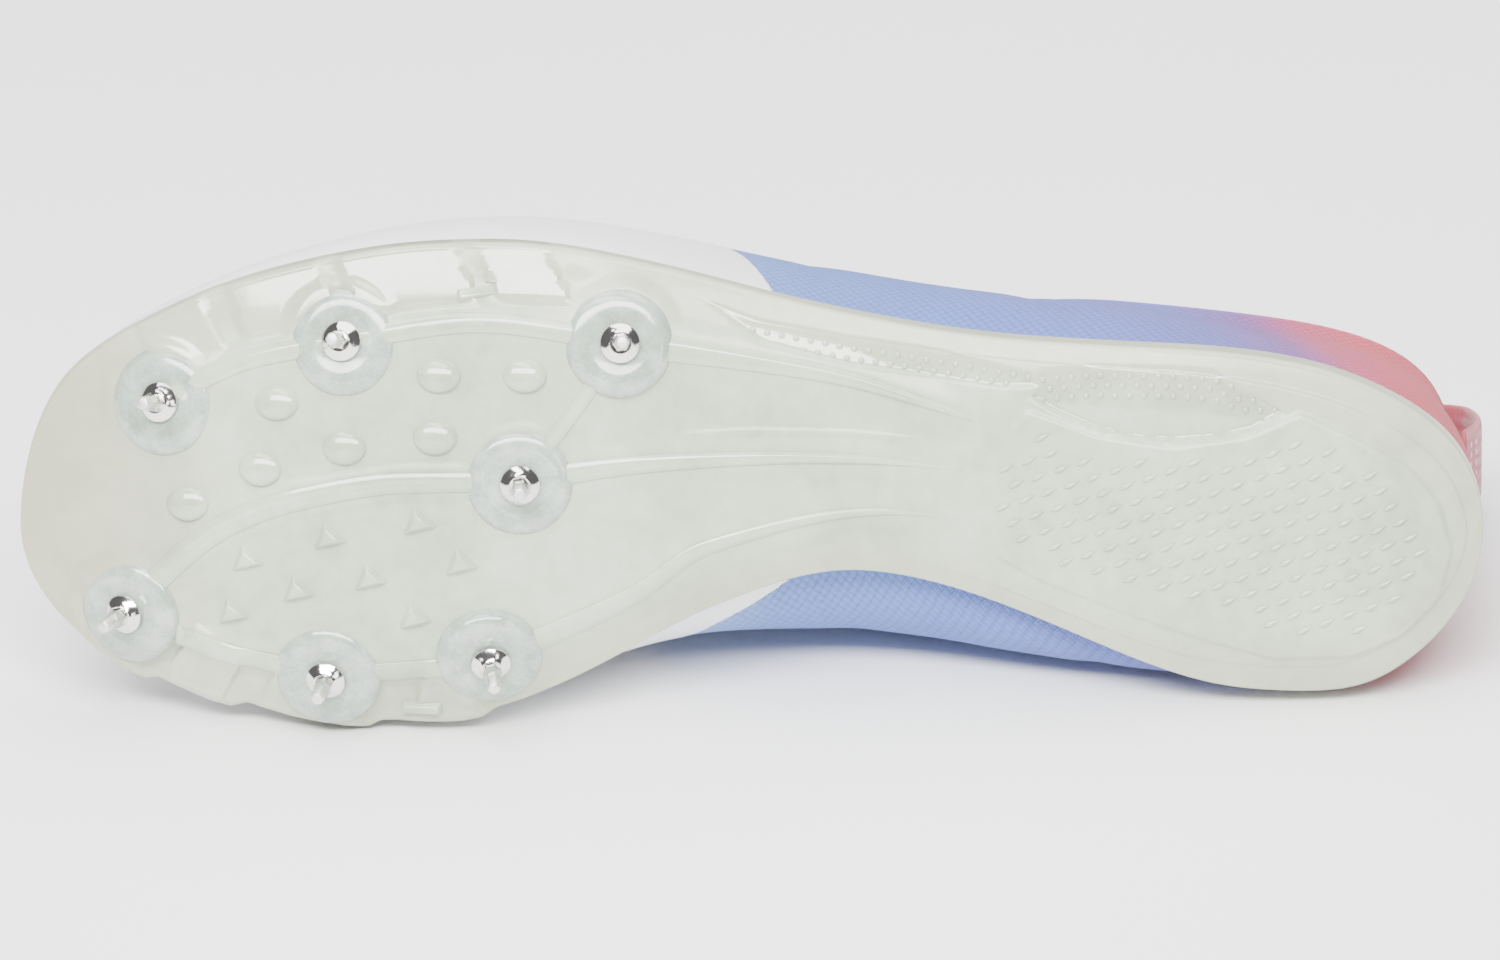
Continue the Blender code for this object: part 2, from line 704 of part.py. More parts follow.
def build_upper():
    seat = PLATE_WALL + GAP

    def margin(side, turn):
        return tread_point(side, turn, MARGIN_SHARE, seat)

    def corner(side, turn):
        share = share_at(side, turn, upper_inset() + HEM)
        return tread_point(side, turn, share, seat)

    def heel_of_wall(side, turn):
        share = share_at(side, turn, upper_inset())
        return tread_point(side, turn, share, seat + HEM)

    rings = [ring(margin), ring(corner), ring(heel_of_wall)]
    for k in range(CLIMB + 1):
        rings.append(ring(lambda side, turn, k=k: wall_point(side, turn, k / CLIMB)))
    upper = skin("upper", rings)
    wall = upper.modifiers.new("wall", "SOLIDIFY")
    wall.thickness = UPPER_WALL
    wall.offset = -1
    wall.use_even_offset = False
    combine(upper, eyelet_cutters(), "DIFFERENCE", "eyelets")
    paint(upper, (0.45, 0.52, 0.78), 0.7)
    return upper


def eyelet_frame(side, turn):
    place = wall_point(side, turn, EYELET_CLIMB)
    out = wall_normal(side, turn, EYELET_CLIMB)
    frame = out.to_track_quat("Z", "Y").to_matrix().to_4x4()
    frame.translation = place
    return frame


def eyelet_cutters():
    reach = UPPER_WALL + 1.5 * MM
    bore = ((0, -reach), (EYELET_RADIUS, -reach), (EYELET_RADIUS, 1.5 * MM), (0, 1.5 * MM))
    cutters = []
    for number, turn in enumerate(EYELET_TURNS):
        for side in ("lateral", "medial"):
            name = "eyelet_%s_%d" % (side, number + 1)
            cutters.append(turned(name, bore, eyelet_frame(side, turn), EYELET_SIDES))
    return cutters


# Insole
def build_insole():
    lift = PLATE_WALL + GAP + UPPER_WALL + 1.5 * GAP
    inset = upper_inset() + UPPER_WALL + 3 * GAP

    def edge(side, turn, height):
        share = share_at(side, turn, inset)
        return tread_point(side, turn, share, height)

    rings = [ring(lambda side, turn, r=r: tread_point(side, turn, r, lift)) for r in (0.0, 0.8)]
    rings.append(ring(lambda side, turn: edge(side, turn, lift)))
    rings.append(ring(lambda side, turn: edge(side, turn, lift + INSOLE_THICKNESS)))
    for r in (0.8, 0.0):
        rings.append(ring(lambda side, turn, r=r: tread_point(side, turn, r, lift + INSOLE_THICKNESS)))
    insole = skin("insole", rings)
    paint(insole, (0.8, 0.8, 0.82), 0.8)
    return insole


# Throat: tongue below it and lace above it
def arch_between(left, right, share, crown):
    """Point of a low arch from one point to another."""
    lift = crown * (right - left).length * (1 - (2 * share - 1) ** 2)
    return left.lerp(right, share) + Vector((0, 0, lift))


def under_point(side, turn, row, depth):
    """Point below the flat facets of the wall."""
    low = int(row)
    high = min(low + 1, CLIMB)
    ends = [wall_point(side, turn, k / CLIMB) - wall_normal(side, turn, k / CLIMB) * depth for k in (low, high)]
    return ends[0].lerp(ends[1], row - low)


def tongue_section(section, depth):
    number, outer, inner, crown = section
    rows = (outer, (outer + inner) / 2, inner)
    left = [under_point("lateral", number / HALF, row, depth) for row in rows]
    right = [under_point("medial", number / HALF, row, depth) for row in reversed(rows)]
    middle = [arch_between(left[-1], right[0], share, crown) for share in (0.25, 0.5, 0.75)]
    return left + middle + right


def build_tongue():
    depth = UPPER_WALL + 3 * GAP
    faces = [tongue_section(section, depth) for section in TONGUE]
    backs = [tongue_section(section, depth + TONGUE_THICKNESS) for section in TONGUE]
    away = Vector((-math.cos(TONGUE_LEAN), 0, math.sin(TONGUE_LEAN)))
    for row in (faces, backs):
        last = row[-1]
        centre = last[len(last) // 2]
        for step, narrow in TONGUE_TIP:
            shift = away * step * TONGUE_RISE
            width = Vector((0, 1 - narrow, 0))
            row.append([point - (point - centre) * width + shift for point in last])
    rings = [face + back[::-1] for face, back in zip(faces, backs)]
    tongue = skin("tongue", rings, capped=True)
    paint(tongue, (0.42, 0.5, 0.76), 0.75)
    return tongue


def over_frame(turn, across, lift):
    """Point and outward direction over the throat: across is 1 at the lateral eyelet, -1 at the medial one."""
    side = "lateral" if across > 0 else "medial"
    if abs(across) >= EDGE_ACROSS:
        climb = 1 - (1 - EYELET_CLIMB) * (abs(across) - EDGE_ACROSS) / (1 - EDGE_ACROSS)
        out = wall_normal(side, turn, climb)
        return wall_point(side, turn, climb) + out * lift, out
    share = (EDGE_ACROSS - across) / (2 * EDGE_ACROSS)
    left, left_out = over_frame(turn, EDGE_ACROSS, lift)
    right, right_out = over_frame(turn, -EDGE_ACROSS, lift)
    return arch_between(left, right, share, THROAT_CROWN), left_out.lerp(right_out, share).normalized()


def lace_band(name, start, end, lift):
    """Flat band from the lateral eyelet at one turn to the medial eyelet at another."""
    places = []
    for k in range(LACE_STEPS):
        share = k / (LACE_STEPS - 1)
        places.append(over_frame(start + (end - start) * share, 1 - 2 * share, lift))
    rings = []
    for k, (point, out) in enumerate(places):
        run = (places[min(k + 1, LACE_STEPS - 1)][0] - places[max(k - 1, 0)][0]).normalized()
        aside = run.cross(out).normalized() * LACE_WIDTH / 2
        up = out * LACE_THICKNESS
        rings.append([point - aside, point + aside, point + aside + up, point - aside + up])
    return skin(name, rings, capped=True)


# How far the bar, every second row and the upper band of a crossing lie above the rest, by the lace's thickness
BAR_LIFT = 0.6
ROW_LIFT = 0.2
CROSSING_LIFT = 0.5


def build_lace():
    """Bar at the vamp and a crossing between each pair of rows, joined."""
    lift = 2 * GAP
    lace = lace_band("lace", EYELET_TURNS[0], EYELET_TURNS[0], lift + BAR_LIFT * LACE_THICKNESS)
    crossings = []
    for number, (low, high) in enumerate(zip(EYELET_TURNS, EYELET_TURNS[1:])):
        over = lift + ROW_LIFT * LACE_THICKNESS * (number % 2)
        crossings.append(lace_band("crossing_%d_up" % number, low, high, over))
        crossings.append(lace_band("crossing_%d_down" % number, high, low, over + CROSSING_LIFT * LACE_THICKNESS))
    combine(lace, crossings, "UNION", "crossings")
    paint(lace, (0.9, 0.9, 0.92), 0.8)
    return lace


# Pull loop behind the heel, sewn outside and inside the collar
def build_loop():
    top = top_point("lateral", 0.0)
    low = wall_point("lateral", 0.0, 1 - LOOP_DROP / top.z)
    tape = LOOP_TAPE / 2
    outside = low.x - GAP - tape
    inside = top.x + UPPER_WALL + 5 * GAP + tape
    back = top.x - LOOP_DEPTH + tape
    peak = top.z + LOOP_RISE - tape
    stops = (
        (outside - tape / 4, low.z),
        ((outside + back - LOOP_TAPE) / 2, low.z + 0.35 * LOOP_DROP),
        (back, top.z - 0.1 * LOOP_DROP),
        (back + 0.3 * LOOP_DEPTH, top.z + 0.72 * LOOP_RISE),
        (top.x, peak),
        (inside - 0.1 * LOOP_DEPTH, top.z + 0.6 * LOOP_RISE),
        (inside, top.z),
        (inside + tape / 4, top.z - 0.6 * LOOP_DROP),
    )
    route = [Vector((x, top.y, z)) for x, z in smooth_route(stops, LOOP_STEPS)]
    rings = []
    for k, point in enumerate(route):
        run = (route[min(k + 1, len(route) - 1)] - route[max(k - 1, 0)]).normalized()
        aside = Vector((0, LOOP_WIDTH / 2, 0))
        up = run.cross(aside).normalized() * tape
        rings.append([point - aside - up, point + aside - up, point + aside + up, point - aside + up])
    loop = skin("pull_loop", rings, capped=True)
    paint(loop, (0.8, 0.55, 0.6), 0.75)
    return loop


# The shoe is laid on its medial side, on the flat that its plate, upper and spikes rest on
def solid_parts(item):
    """World points of an evaluated object, its volume and its centre of volume."""
    graph = bpy.context.evaluated_depsgraph_get()
    bm = bmesh.new()
    bm.from_mesh(item.evaluated_get(graph).to_mesh())
    bmesh.ops.triangulate(bm, faces=bm.faces)
    points = [vert.co.copy() for vert in bm.verts]
    volume = 0.0
    moment = Vector()
    for face in bm.faces:
        a, b, c = (vert.co for vert in face.verts)
        share = a.dot(b.cross(c)) / 6
        volume += share
        moment += (a + b + c) * share / 4
    bm.free()
    return points, volume, moment / volume


def resting_direction(points, balance):
    """Outward direction of the hull's face that carries the balance point with the medial side down."""
    bm = bmesh.new()
    for point in points:
        bm.verts.new(point)
    hull = bmesh.ops.convex_hull(bm, input=bm.verts, use_existing_faces=False)
    faces = [part for part in hull["geom"] if isinstance(part, bmesh.types.BMFace)]
    best = None
    for face in faces:
        out = face.normal if face.normal.dot(face.calc_center_median() - balance) > 0 else -face.normal
        foot = balance + out * out.dot(face.verts[0].co - balance)
        corners = [vert.co for vert in face.verts]
        turns = [(after - here).cross(foot - here).dot(out) for here, after in zip(corners, corners[1:] + corners[:1])]
        held = all(turn >= 0 for turn in turns) or all(turn <= 0 for turn in turns)
        if held and (best is None or out.y < best.y):
            best = out.copy()
    bm.free()
    return best


def lay_down(items):
    rest = bpy.data.objects.new("rest", None)
    bpy.context.scene.collection.objects.link(rest)
    bpy.context.view_layer.update()
    points = []
    mass = 0.0
    moment = Vector()
    for item in items:
        own, volume, centre = solid_parts(item)
        weight = volume * DENSITY.get(item.name, STEEL_DENSITY)
        points += own
        mass += weight
        moment += centre * weight
    down = resting_direction(points, moment / mass)
    up = -down
    length = (Vector((-1, 0, 0)) - up * -up.x).normalized()
    turn = Matrix((length, up.cross(length), up)).to_4x4()
    turned_points = [turn @ point for point in points]
    low = [min(point[axis] for point in turned_points) for axis in range(3)]
    high = [max(point[axis] for point in turned_points) for axis in range(3)]
    shift = Vector((-(low[0] + high[0]) / 2, -(low[1] + high[1]) / 2, -low[2]))
    rest.matrix_world = Matrix.Translation(shift) @ turn
    for item in bpy.data.objects:
        if item is not rest:
            item.parent = rest


clear_scene()
plate, spike_frames = build_plate()
spikes = [build_spike(name, frame) for name, frame in spike_frames.items()]
upper = build_upper()
lay_down([plate, upper, build_insole(), build_tongue(), build_lace(), build_loop()] + spikes)
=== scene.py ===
# %% [markdown]
# # A track spike, one piece at a time
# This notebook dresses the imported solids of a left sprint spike. The solids say where everything is.
# Each cell below makes one real piece of the shoe over them, in the way it is made at a bench.

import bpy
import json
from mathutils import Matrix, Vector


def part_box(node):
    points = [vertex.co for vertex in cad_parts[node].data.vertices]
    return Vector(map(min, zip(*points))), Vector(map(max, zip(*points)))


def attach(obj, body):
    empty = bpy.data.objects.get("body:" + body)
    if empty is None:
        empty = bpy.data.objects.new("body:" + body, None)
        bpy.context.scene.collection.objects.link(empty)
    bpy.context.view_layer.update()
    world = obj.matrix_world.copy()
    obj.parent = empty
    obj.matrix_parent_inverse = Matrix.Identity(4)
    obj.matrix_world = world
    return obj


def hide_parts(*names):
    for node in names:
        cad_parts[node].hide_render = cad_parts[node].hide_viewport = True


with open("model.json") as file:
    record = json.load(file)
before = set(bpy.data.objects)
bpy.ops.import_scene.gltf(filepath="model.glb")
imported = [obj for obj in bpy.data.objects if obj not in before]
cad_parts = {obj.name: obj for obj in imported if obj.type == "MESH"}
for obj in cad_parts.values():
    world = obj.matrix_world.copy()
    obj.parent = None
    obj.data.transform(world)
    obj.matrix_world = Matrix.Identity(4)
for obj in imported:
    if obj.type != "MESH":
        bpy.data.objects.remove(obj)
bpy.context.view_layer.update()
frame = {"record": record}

# %% Tools of the trade
import json
import math

import bmesh
import bpy
import numpy as np
from mathutils import Matrix, Vector
from mathutils.bvhtree import BVHTree

MM = 0.001
UV_UNIT = 100 * MM

# %% [markdown]
# ## The last
# A shoe is built on a last, a foot-shaped block, and every size is read from it. We do the same: a few
# tables give the outline, the underside and the top line as shares of the shoe's length, width and
# height, and smooth curves are drawn through them. One other way is to trace points from the solids, but
# tables stay readable and give as fine a surface as we like. X runs from the heel to the toe, Y to the
# outer side and Z away from the floor.

# %% Sizes and tables of the last
LENGTH = 279 * MM
BALL_WIDTH = 94 * MM
INSTEP_HEIGHT = 80 * MM
HEEL_HEIGHT = 64 * MM
TOE_SPRING = 22 * MM
ARCH_RISE = 5 * MM
CAMBER = 8 * MM
PLATE_WALL = 2.0 * MM
LIP_HEIGHT = 6.5 * MM
LIP_WALL = 1.5 * MM
UPPER_WALL = 1.6 * MM
GAP = 0.35 * MM

# station, outer edge, inner edge, outer belly, inner belly
OUTLINE = np.array((
    (0.000, -0.113, -0.113, 0.025, 0.025), (0.020, 0.063, -0.293, 0.022, 0.022),
    (0.051, 0.141, -0.388, 0.018, 0.015), (0.082, 0.188, -0.441, 0.015, 0.010),
    (0.112, 0.221, -0.453, 0.012, 0.010), (0.174, 0.253, -0.444, 0.012, 0.015),
    (0.235, 0.264, -0.388, 0.034, 0.053), (0.296, 0.269, -0.314, 0.052, 0.096),
    (0.357, 0.283, -0.247, 0.056, 0.137), (0.418, 0.313, -0.209, 0.056, 0.160),
    (0.450, 0.334, -0.205, 0.054, 0.168), (0.480, 0.356, -0.235, 0.052, 0.148),
    (0.541, 0.409, -0.301, 0.050, 0.102), (0.602, 0.452, -0.406, 0.053, 0.046),
    (0.663, 0.476, -0.488, 0.055, 0.025), (0.724, 0.469, -0.524, 0.055, 0.018),
    (0.786, 0.436, -0.527, 0.055, 0.015), (0.847, 0.382, -0.498, 0.050, 0.012),
    (0.908, 0.298, -0.452, 0.040, 0.010), (0.939, 0.240, -0.413, 0.034, 0.010),
    (0.969, 0.162, -0.348, 0.026, 0.012), (1.000, -0.155, -0.155, 0.016, 0.016),
))
# station, share of the toe spring, of the arch rise, of the camber and of the lip
UNDERSIDE = np.array((
    (0.00, 0.03, 0.0, 0.50, 0.90), (0.06, 0.00, 0.0, 0.55, 0.90), (0.22, 0.00, 0.0, 0.55, 0.85),
    (0.30, 0.00, 0.45, 0.55, 0.80), (0.42, 0.00, 1.0, 0.55, 0.70), (0.52, 0.00, 0.50, 0.75, 0.55),
    (0.60, 0.00, 0.0, 0.95, 0.50), (0.68, 0.00, 0.0, 1.00, 0.50), (0.74, 0.06, 0.0, 1.00, 0.50),
    (0.80, 0.18, 0.0, 0.95, 0.50), (0.86, 0.365, 0.0, 0.85, 0.48), (0.92, 0.60, 0.0, 0.62, 0.45),
    (0.96, 0.79, 0.0, 0.45, 0.42), (1.00, 1.00, 0.0, 0.30, 0.40),
))
# turn round the foot, station, middle, half width, height, roof
TOP_LINE = np.array((
    (0.00, 0.018, -0.113, 0.000, 0.83, 0.00), (0.05, 0.021, -0.113, 0.075, 0.825, 0.00),
    (0.10, 0.031, -0.110, 0.145, 0.81, 0.00), (0.15, 0.052, -0.105, 0.205, 0.785, 0.00),
    (0.20, 0.085, -0.095, 0.245, 0.75, 0.00), (0.25, 0.128, -0.080, 0.268, 0.70, 0.00),
    (0.30, 0.182, -0.062, 0.278, 0.66, 0.03), (0.35, 0.245, -0.045, 0.275, 0.67, 0.10),
    (0.40, 0.312, -0.030, 0.250, 0.76, 0.25), (0.44, 0.366, -0.020, 0.205, 0.88, 0.45),
    (0.47, 0.404, -0.015, 0.165, 0.95, 0.60), (0.50, 0.440, -0.012, 0.140, 0.94, 0.70),
    (0.55, 0.505, -0.015, 0.122, 0.875, 0.85), (0.60, 0.570, -0.022, 0.105, 0.795, 0.95),
    (0.64, 0.622, -0.030, 0.085, 0.73, 1.00), (0.67, 0.660, -0.037, 0.055, 0.685, 1.00),
    (0.69, 0.684, -0.042, 0.000, 0.66, 1.00), (0.75, 0.745, -0.058, 0.000, 0.60, 1.00),
    (0.82, 0.810, -0.080, 0.000, 0.56, 1.00), (0.90, 0.868, -0.110, 0.000, 0.555, 1.00),
    (1.00, 0.915, -0.140, 0.000, 0.555, 1.00),
))
# corners of the heel pad: station and offset
PAD_CORNERS = np.array((
    (0.310, 0.136), (0.264, 0.087), (0.211, 0.066), (0.161, 0.089), (0.126, 0.134), (0.091, 0.087),
    (0.052, 0.024), (0.031, -0.053), (0.022, -0.149), (0.030, -0.250), (0.054, -0.330),
    (0.090, -0.374), (0.143, -0.377), (0.197, -0.330), (0.251, -0.272), (0.301, -0.219),
    (0.330, -0.171), (0.343, -0.080), (0.341, 0.026), (0.326, 0.091),
))
PAD_HEIGHT = 0.55 * MM
print(len(OUTLINE), "rows of outline,", len(UNDERSIDE), "of underside,", len(TOP_LINE), "of top line")


# %% Smooth curves through the tables
def follow(keys, values, at):
    """Smooth value through the keys that never swings past them. Works on numbers and arrays."""
    at = np.clip(at, keys[0], keys[-1])
    slope = np.diff(values) / np.diff(keys)
    together = slope[:-1] * slope[1:]
    safe = np.where(np.abs(slope[:-1] + slope[1:]) < 1e-12, 1.0, slope[:-1] + slope[1:])
    lean = np.concatenate(([slope[0]], np.where(together > 0, 2 * together / safe, 0.0), [slope[-1]]))
    k = np.clip(np.searchsorted(keys, at, side="right") - 1, 0, len(keys) - 2)
    span = keys[k + 1] - keys[k]
    t = (at - keys[k]) / span
    start = (1 + 2 * t) * (1 - t) ** 2 * values[k] + t * (1 - t) ** 2 * span * lean[k]
    return start + t * t * (3 - 2 * t) * values[k + 1] + t * t * (t - 1) * span * lean[k + 1]


def turn_of_station(station):
    return np.arccos(1 - 2 * np.clip(station, 0, 1)) / math.pi


def station_of_turn(turn):
    return (1 - np.cos(math.pi * np.asarray(turn, float))) / 2


OUTLINE_TURNS = turn_of_station(OUTLINE[:, 0])
FINE = 1440


def softened(first):
    """Both edges as one closed line, with its last corners rubbed out as a sander does."""
    turns = np.arange(FINE // 2 + 1) / (FINE // 2)
    outer = follow(OUTLINE_TURNS, OUTLINE[:, first], turns)
    inner = follow(OUTLINE_TURNS, OUTLINE[:, first + 1], turns)
    closed = np.concatenate((outer, inner[-2:0:-1]))
    reach = np.arange(-48, 49)
    weight = np.exp(-(reach / 17.0) ** 2)
    return sum(w * np.roll(closed, r) for w, r in zip(weight / weight.sum(), reach))


SOFT_EDGES = {1: softened(1), 3: softened(3)}


def edge_share(side, turn, first=1):
    """Offset of the edge as a share of the ball width, on the outer side (1) or the inner side (-1)."""
    place = np.where(np.asarray(side) > 0, turn, 2 - np.asarray(turn, float)) * (FINE // 2)
    return np.interp(place, np.arange(FINE + 1), np.append(SOFT_EDGES[first], SOFT_EDGES[first][0]))


def underside(column, station):
    return follow(UNDERSIDE[:, 0], UNDERSIDE[:, column], station)


def top_line(column, turn):
    return follow(TOP_LINE[:, 0], TOP_LINE[:, column], turn)


def stack(*parts):
    return np.stack(np.broadcast_arrays(*parts), axis=-1)


def unit(vectors):
    return vectors / np.maximum(np.linalg.norm(vectors, axis=-1, keepdims=True), 1e-12)


print("widest at the ball:", round(float((edge_share(1, 0.6) - edge_share(-1, 0.6)) * 94), 1), "mm")


# %% [markdown]
# The surface of the sole is read on spokes. Each spoke runs from a middle line out to the edge, and they
# fan out round the heel and the toe as the spokes of a wheel do, so the ends stay round.

# %% Spokes of the sole
def edge_at(side, turn):
    return stack(station_of_turn(turn) * LENGTH, edge_share(side, turn) * BALL_WIDTH)


def spine_at(turn):
    station = 0.08 + 0.85 * (0.75 * station_of_turn(turn) + 0.25 * np.asarray(turn, float))
    seen = turn_of_station(station)
    return stack(station * LENGTH, (edge_share(1, seen) + edge_share(-1, seen)) / 2 * BALL_WIDTH)


def spoke(side, turn, share, inset=0.0):
    """Place in plan at a share of the spoke, less a length."""
    middle = spine_at(turn)
    ray = edge_at(side, turn) - middle
    reach = np.linalg.norm(ray, axis=-1)
    return middle + ray * (share - inset / reach)[..., None]


def share_inside(side, turn, inset):
    return 1 - inset / np.linalg.norm(edge_at(side, turn) - spine_at(turn), axis=-1)


def tread_height(x, share):
    station = x / LENGTH
    lift = np.clip((share - 0.3) / 0.7, 0, None) ** 2
    level = TOE_SPRING * underside(1, station) + ARCH_RISE * underside(2, station)
    return level + CAMBER * underside(3, station) * lift


def tread_at(side, turn, share, lift=0.0):
    flat = spoke(side, turn, share)
    return stack(flat[..., 0], flat[..., 1], tread_height(flat[..., 0], share) + lift)


def lip_top(side, turn):
    edge = tread_at(side, turn, 1.0)
    return edge[..., 2] + LIP_HEIGHT * underside(4, edge[..., 0] / LENGTH)


def round_the_foot(count):
    """Side and turn of columns that run heel, outer side, toe, inner side and back to the heel."""
    index = np.arange(count + 1)
    half = count // 2
    return np.where(index <= half, 1.0, -1.0), np.where(index <= half, index, count - index) / half


# %% [markdown]
# The record's one mount is the crown of the heel pad. It tells how the shoe lies: its axis is the way
# the sole faces, and its place is the middle of the pad's corners.

# %% Lay the last on its side as the solids lie
heel_face = frame["record"]["mounts"][0]
up = -Vector(heel_face["axis"])
along = Vector((up.z, 0, -up.x)).normalized()
across = up.cross(along)
turned_down = Matrix((along, across, up)).transposed()
pad_middle = PAD_CORNERS.mean(axis=0) * (LENGTH, BALL_WIDTH)
heel_point = Vector((*pad_middle, -PAD_HEIGHT))
LAID = Matrix.Translation(Vector(heel_face["pos_m"]) - turned_down @ heel_point) @ turned_down.to_4x4()
print("the toe lies at", [round(v, 3) for v in LAID @ Vector((LENGTH, 0, TOE_SPRING))])

# %% [markdown]
# ## Camera, floor and light
# The photograph looks straight at the sole and a little from the outer side, through a long lens. The
# soft boxes are large, because glossy plastic and steel show the shape of every lamp.

# %% Camera
VIEW_TILT = math.radians(13)
FRAME_WIDTH = 284.6 * MM
DISTANCE = 3.5
photo_up = Vector((0, math.cos(VIEW_TILT), math.sin(VIEW_TILT)))
photo_back = Vector((0, math.sin(VIEW_TILT), -math.cos(VIEW_TILT)))
aim = LAID @ Vector((139.5 * MM, 0, 0))
lens = bpy.data.cameras.new("camera")
lens.sensor_width = 36
lens.lens = lens.sensor_width * DISTANCE / FRAME_WIDTH
camera = bpy.data.objects.new("camera", lens)
bpy.context.scene.collection.objects.link(camera)
toward = turned_down @ photo_back
camera.matrix_world = Matrix.Translation(aim + toward * DISTANCE) @ Matrix(
    (turned_down @ photo_up.cross(photo_back), turned_down @ photo_up, toward)
).transposed().to_4x4()
bpy.context.scene.camera = camera
print("camera height above the floor:", round(camera.matrix_world.translation.z, 3), "m")


# %% Soft boxes and pale room
def soft_box(name, place, target, size, power):
    light = bpy.data.lights.new(name, "AREA")
    light.shape = "RECTANGLE"
    light.size, light.size_y = size
    light.energy = power
    lamp = bpy.data.objects.new(name, light)
    lamp.location = place
    lamp.rotation_euler = (Vector(place) - Vector(target)).to_track_quat("Z", "Y").to_euler()
    bpy.context.scene.collection.objects.link(lamp)


soft_box("band_box", (-0.15, -0.80, 1.00), (0, 0, 0.05), (1.5, 0.40), 54)
soft_box("over_box", (-0.2, -0.25, 1.35), (0, 0, 0.04), (1.1, 0.4), 14)
soft_box("top_box", (0.25, 0.60, 1.45), (0, 0.1, 0), (1.9, 1.0), 36)
soft_box("front_box", (1.05, -1.35, 0.5), (0, 0, 0.05), (0.3, 0.7), 4)
soft_box("low_box", (-0.3, -1.1, 0.16), (0, 0, 0.02), (1.3, 0.2), 3.5)

world = bpy.data.worlds.new("room")
world.use_nodes = True
world.node_tree.nodes["Background"].inputs["Color"].default_value = (0.97, 0.98, 1.0, 1)
world.node_tree.nodes["Background"].inputs["Strength"].default_value = 0.16
bpy.context.scene.world = world


# %% [markdown]
# ## Finishes
# A finish is a shader with its numbers on its own sockets, and nodes that feed its colour and bump. Two
# helpers keep that short: one starts a finish, one adds a node and links what is given to it.

# %% Helpers for finishes
def start_finish(name, **numbers):
    finish = bpy.data.materials.new(name)
    finish.use_nodes = True
    shader = finish.node_tree.nodes["Principled BSDF"]
    for socket, value in numbers.items():
        shader.inputs[socket.replace("_", " ")].default_value = value
    return finish, finish.node_tree, shader


def add(tree, kind, inputs=None, **settings):
    made = tree.nodes.new("ShaderNode" + kind)
    for key, value in settings.items():
        setattr(made, key, value)
    for key, value in (inputs or {}).items():
        if isinstance(value, bpy.types.NodeSocket):
            tree.links.new(value, made.inputs[key])
        else:
            made.inputs[key].default_value = value
    return made


def ramp(tree, fac, *stops):
    made = add(tree, "ValToRGB", {0: fac})
    elements = made.color_ramp.elements
    while len(elements) < len(stops):
        elements.new(0.5)
    for element, (position, colour) in zip(elements, stops):
        element.position = position
        element.color = (*colour, 1) if len(colour) == 3 else colour
    return made.outputs["Color"]


def blend(tree, fac, first, second):
    made = add(tree, "Mix", {0: fac, 6: first, 7: second}, data_type="RGBA")
    return made.outputs[2]


def bump_into(tree, shader, height, strength, distance, before=None):
    inputs = {"Height": height, "Strength": strength, "Distance": distance}
    if before is not None:
        inputs["Normal"] = before
    made = add(tree, "Bump", inputs)
    tree.links.new(made.outputs["Normal"], shader.inputs["Normal"])
    return made.outputs["Normal"]


def reading(tree, name):
    """Number that a piece carries on its surface under this name."""
    return add(tree, "Attribute", attribute_name=name).outputs["Fac"]


def between(tree, value, low, high, first=0.0, last=1.0):
    inputs = {0: value, 1: low, 2: high, 3: first, 4: last}
    return add(tree, "MapRange", inputs, interpolation_type="SMOOTHSTEP").outputs[0]


def sums(tree, operation, first, second=0.0, third=0.0):
    return add(tree, "Math", {0: first, 1: second, 2: third}, operation=operation).outputs[0]


def times(tree, first, second):
    return sums(tree, "MULTIPLY", first, second)


def times_plus(tree, first, factor, more):
    return sums(tree, "MULTIPLY_ADD", first, factor, more)


def spot(tree, kind="Object"):
    return add(tree, "TexCoord").outputs[kind]


def noise(tree, place, scale, detail, **more):
    inputs = {"Vector": place, "Scale": scale, "Detail": detail}
    return add(tree, "TexNoise", {**inputs, **more}).outputs["Fac"]


def waves(tree, place, scale, distortion, detail, direction):
    inputs = {"Vector": place, "Scale": scale, "Distortion": distortion, "Detail": detail}
    return add(tree, "TexWave", inputs, bands_direction=direction).outputs["Fac"]


# %% [markdown]
# The plate is moulded from a clear nylon-like plastic that comes out milky: cloudy inside, glossy
# outside, a little warmer at the toe. Clouds are two sizes of noise in the colour, and light is let into
# the plastic.

# %% Milky plastic of the plate
def milky_plastic(name, pale, deep, warm, cloud_scale):
    finish, tree, shader = start_finish(
        name, IOR=1.55, Subsurface_Weight=0.15, Subsurface_Scale=0.002, Coat_Roughness=0.05
    )
    shader.inputs["Subsurface Radius"].default_value = (0.9, 1.0, 0.85)
    satin = reading(tree, "satin")
    tree.links.new(times_plus(tree, satin, 0.19, 0.14), shader.inputs["Roughness"])
    tree.links.new(times_plus(tree, satin, -0.48, 0.6), shader.inputs["Coat Weight"])
    place = spot(tree)
    broad = noise(tree, place, cloud_scale, 4.0, Roughness=0.55)
    small = noise(tree, place, cloud_scale * 7, 3.0)
    clouds = times_plus(tree, small, 0.35, times(tree, broad, 0.8))
    colour = ramp(tree, clouds, (0.36, deep), (0.72, pale))
    if warm:
        toe = between(tree, reading(tree, "ahead"), 232.0, 281.0)
        edge = times(tree, between(tree, reading(tree, "rim"), 0.62, 1.0), 0.4)
        tint = times(tree, sums(tree, "MAXIMUM", toe, edge), 0.8)
        colour = blend(tree, tint, colour, (*warm, 1))
    tree.links.new(colour, shader.inputs["Base Color"])
    first = bump_into(tree, shader, noise(tree, place, 120.0, 2.0), 0.12, 0.0006)
    bump_into(tree, shader, noise(tree, place, 1900.0, 2.0), 0.1, 0.00015, first)
    return finish


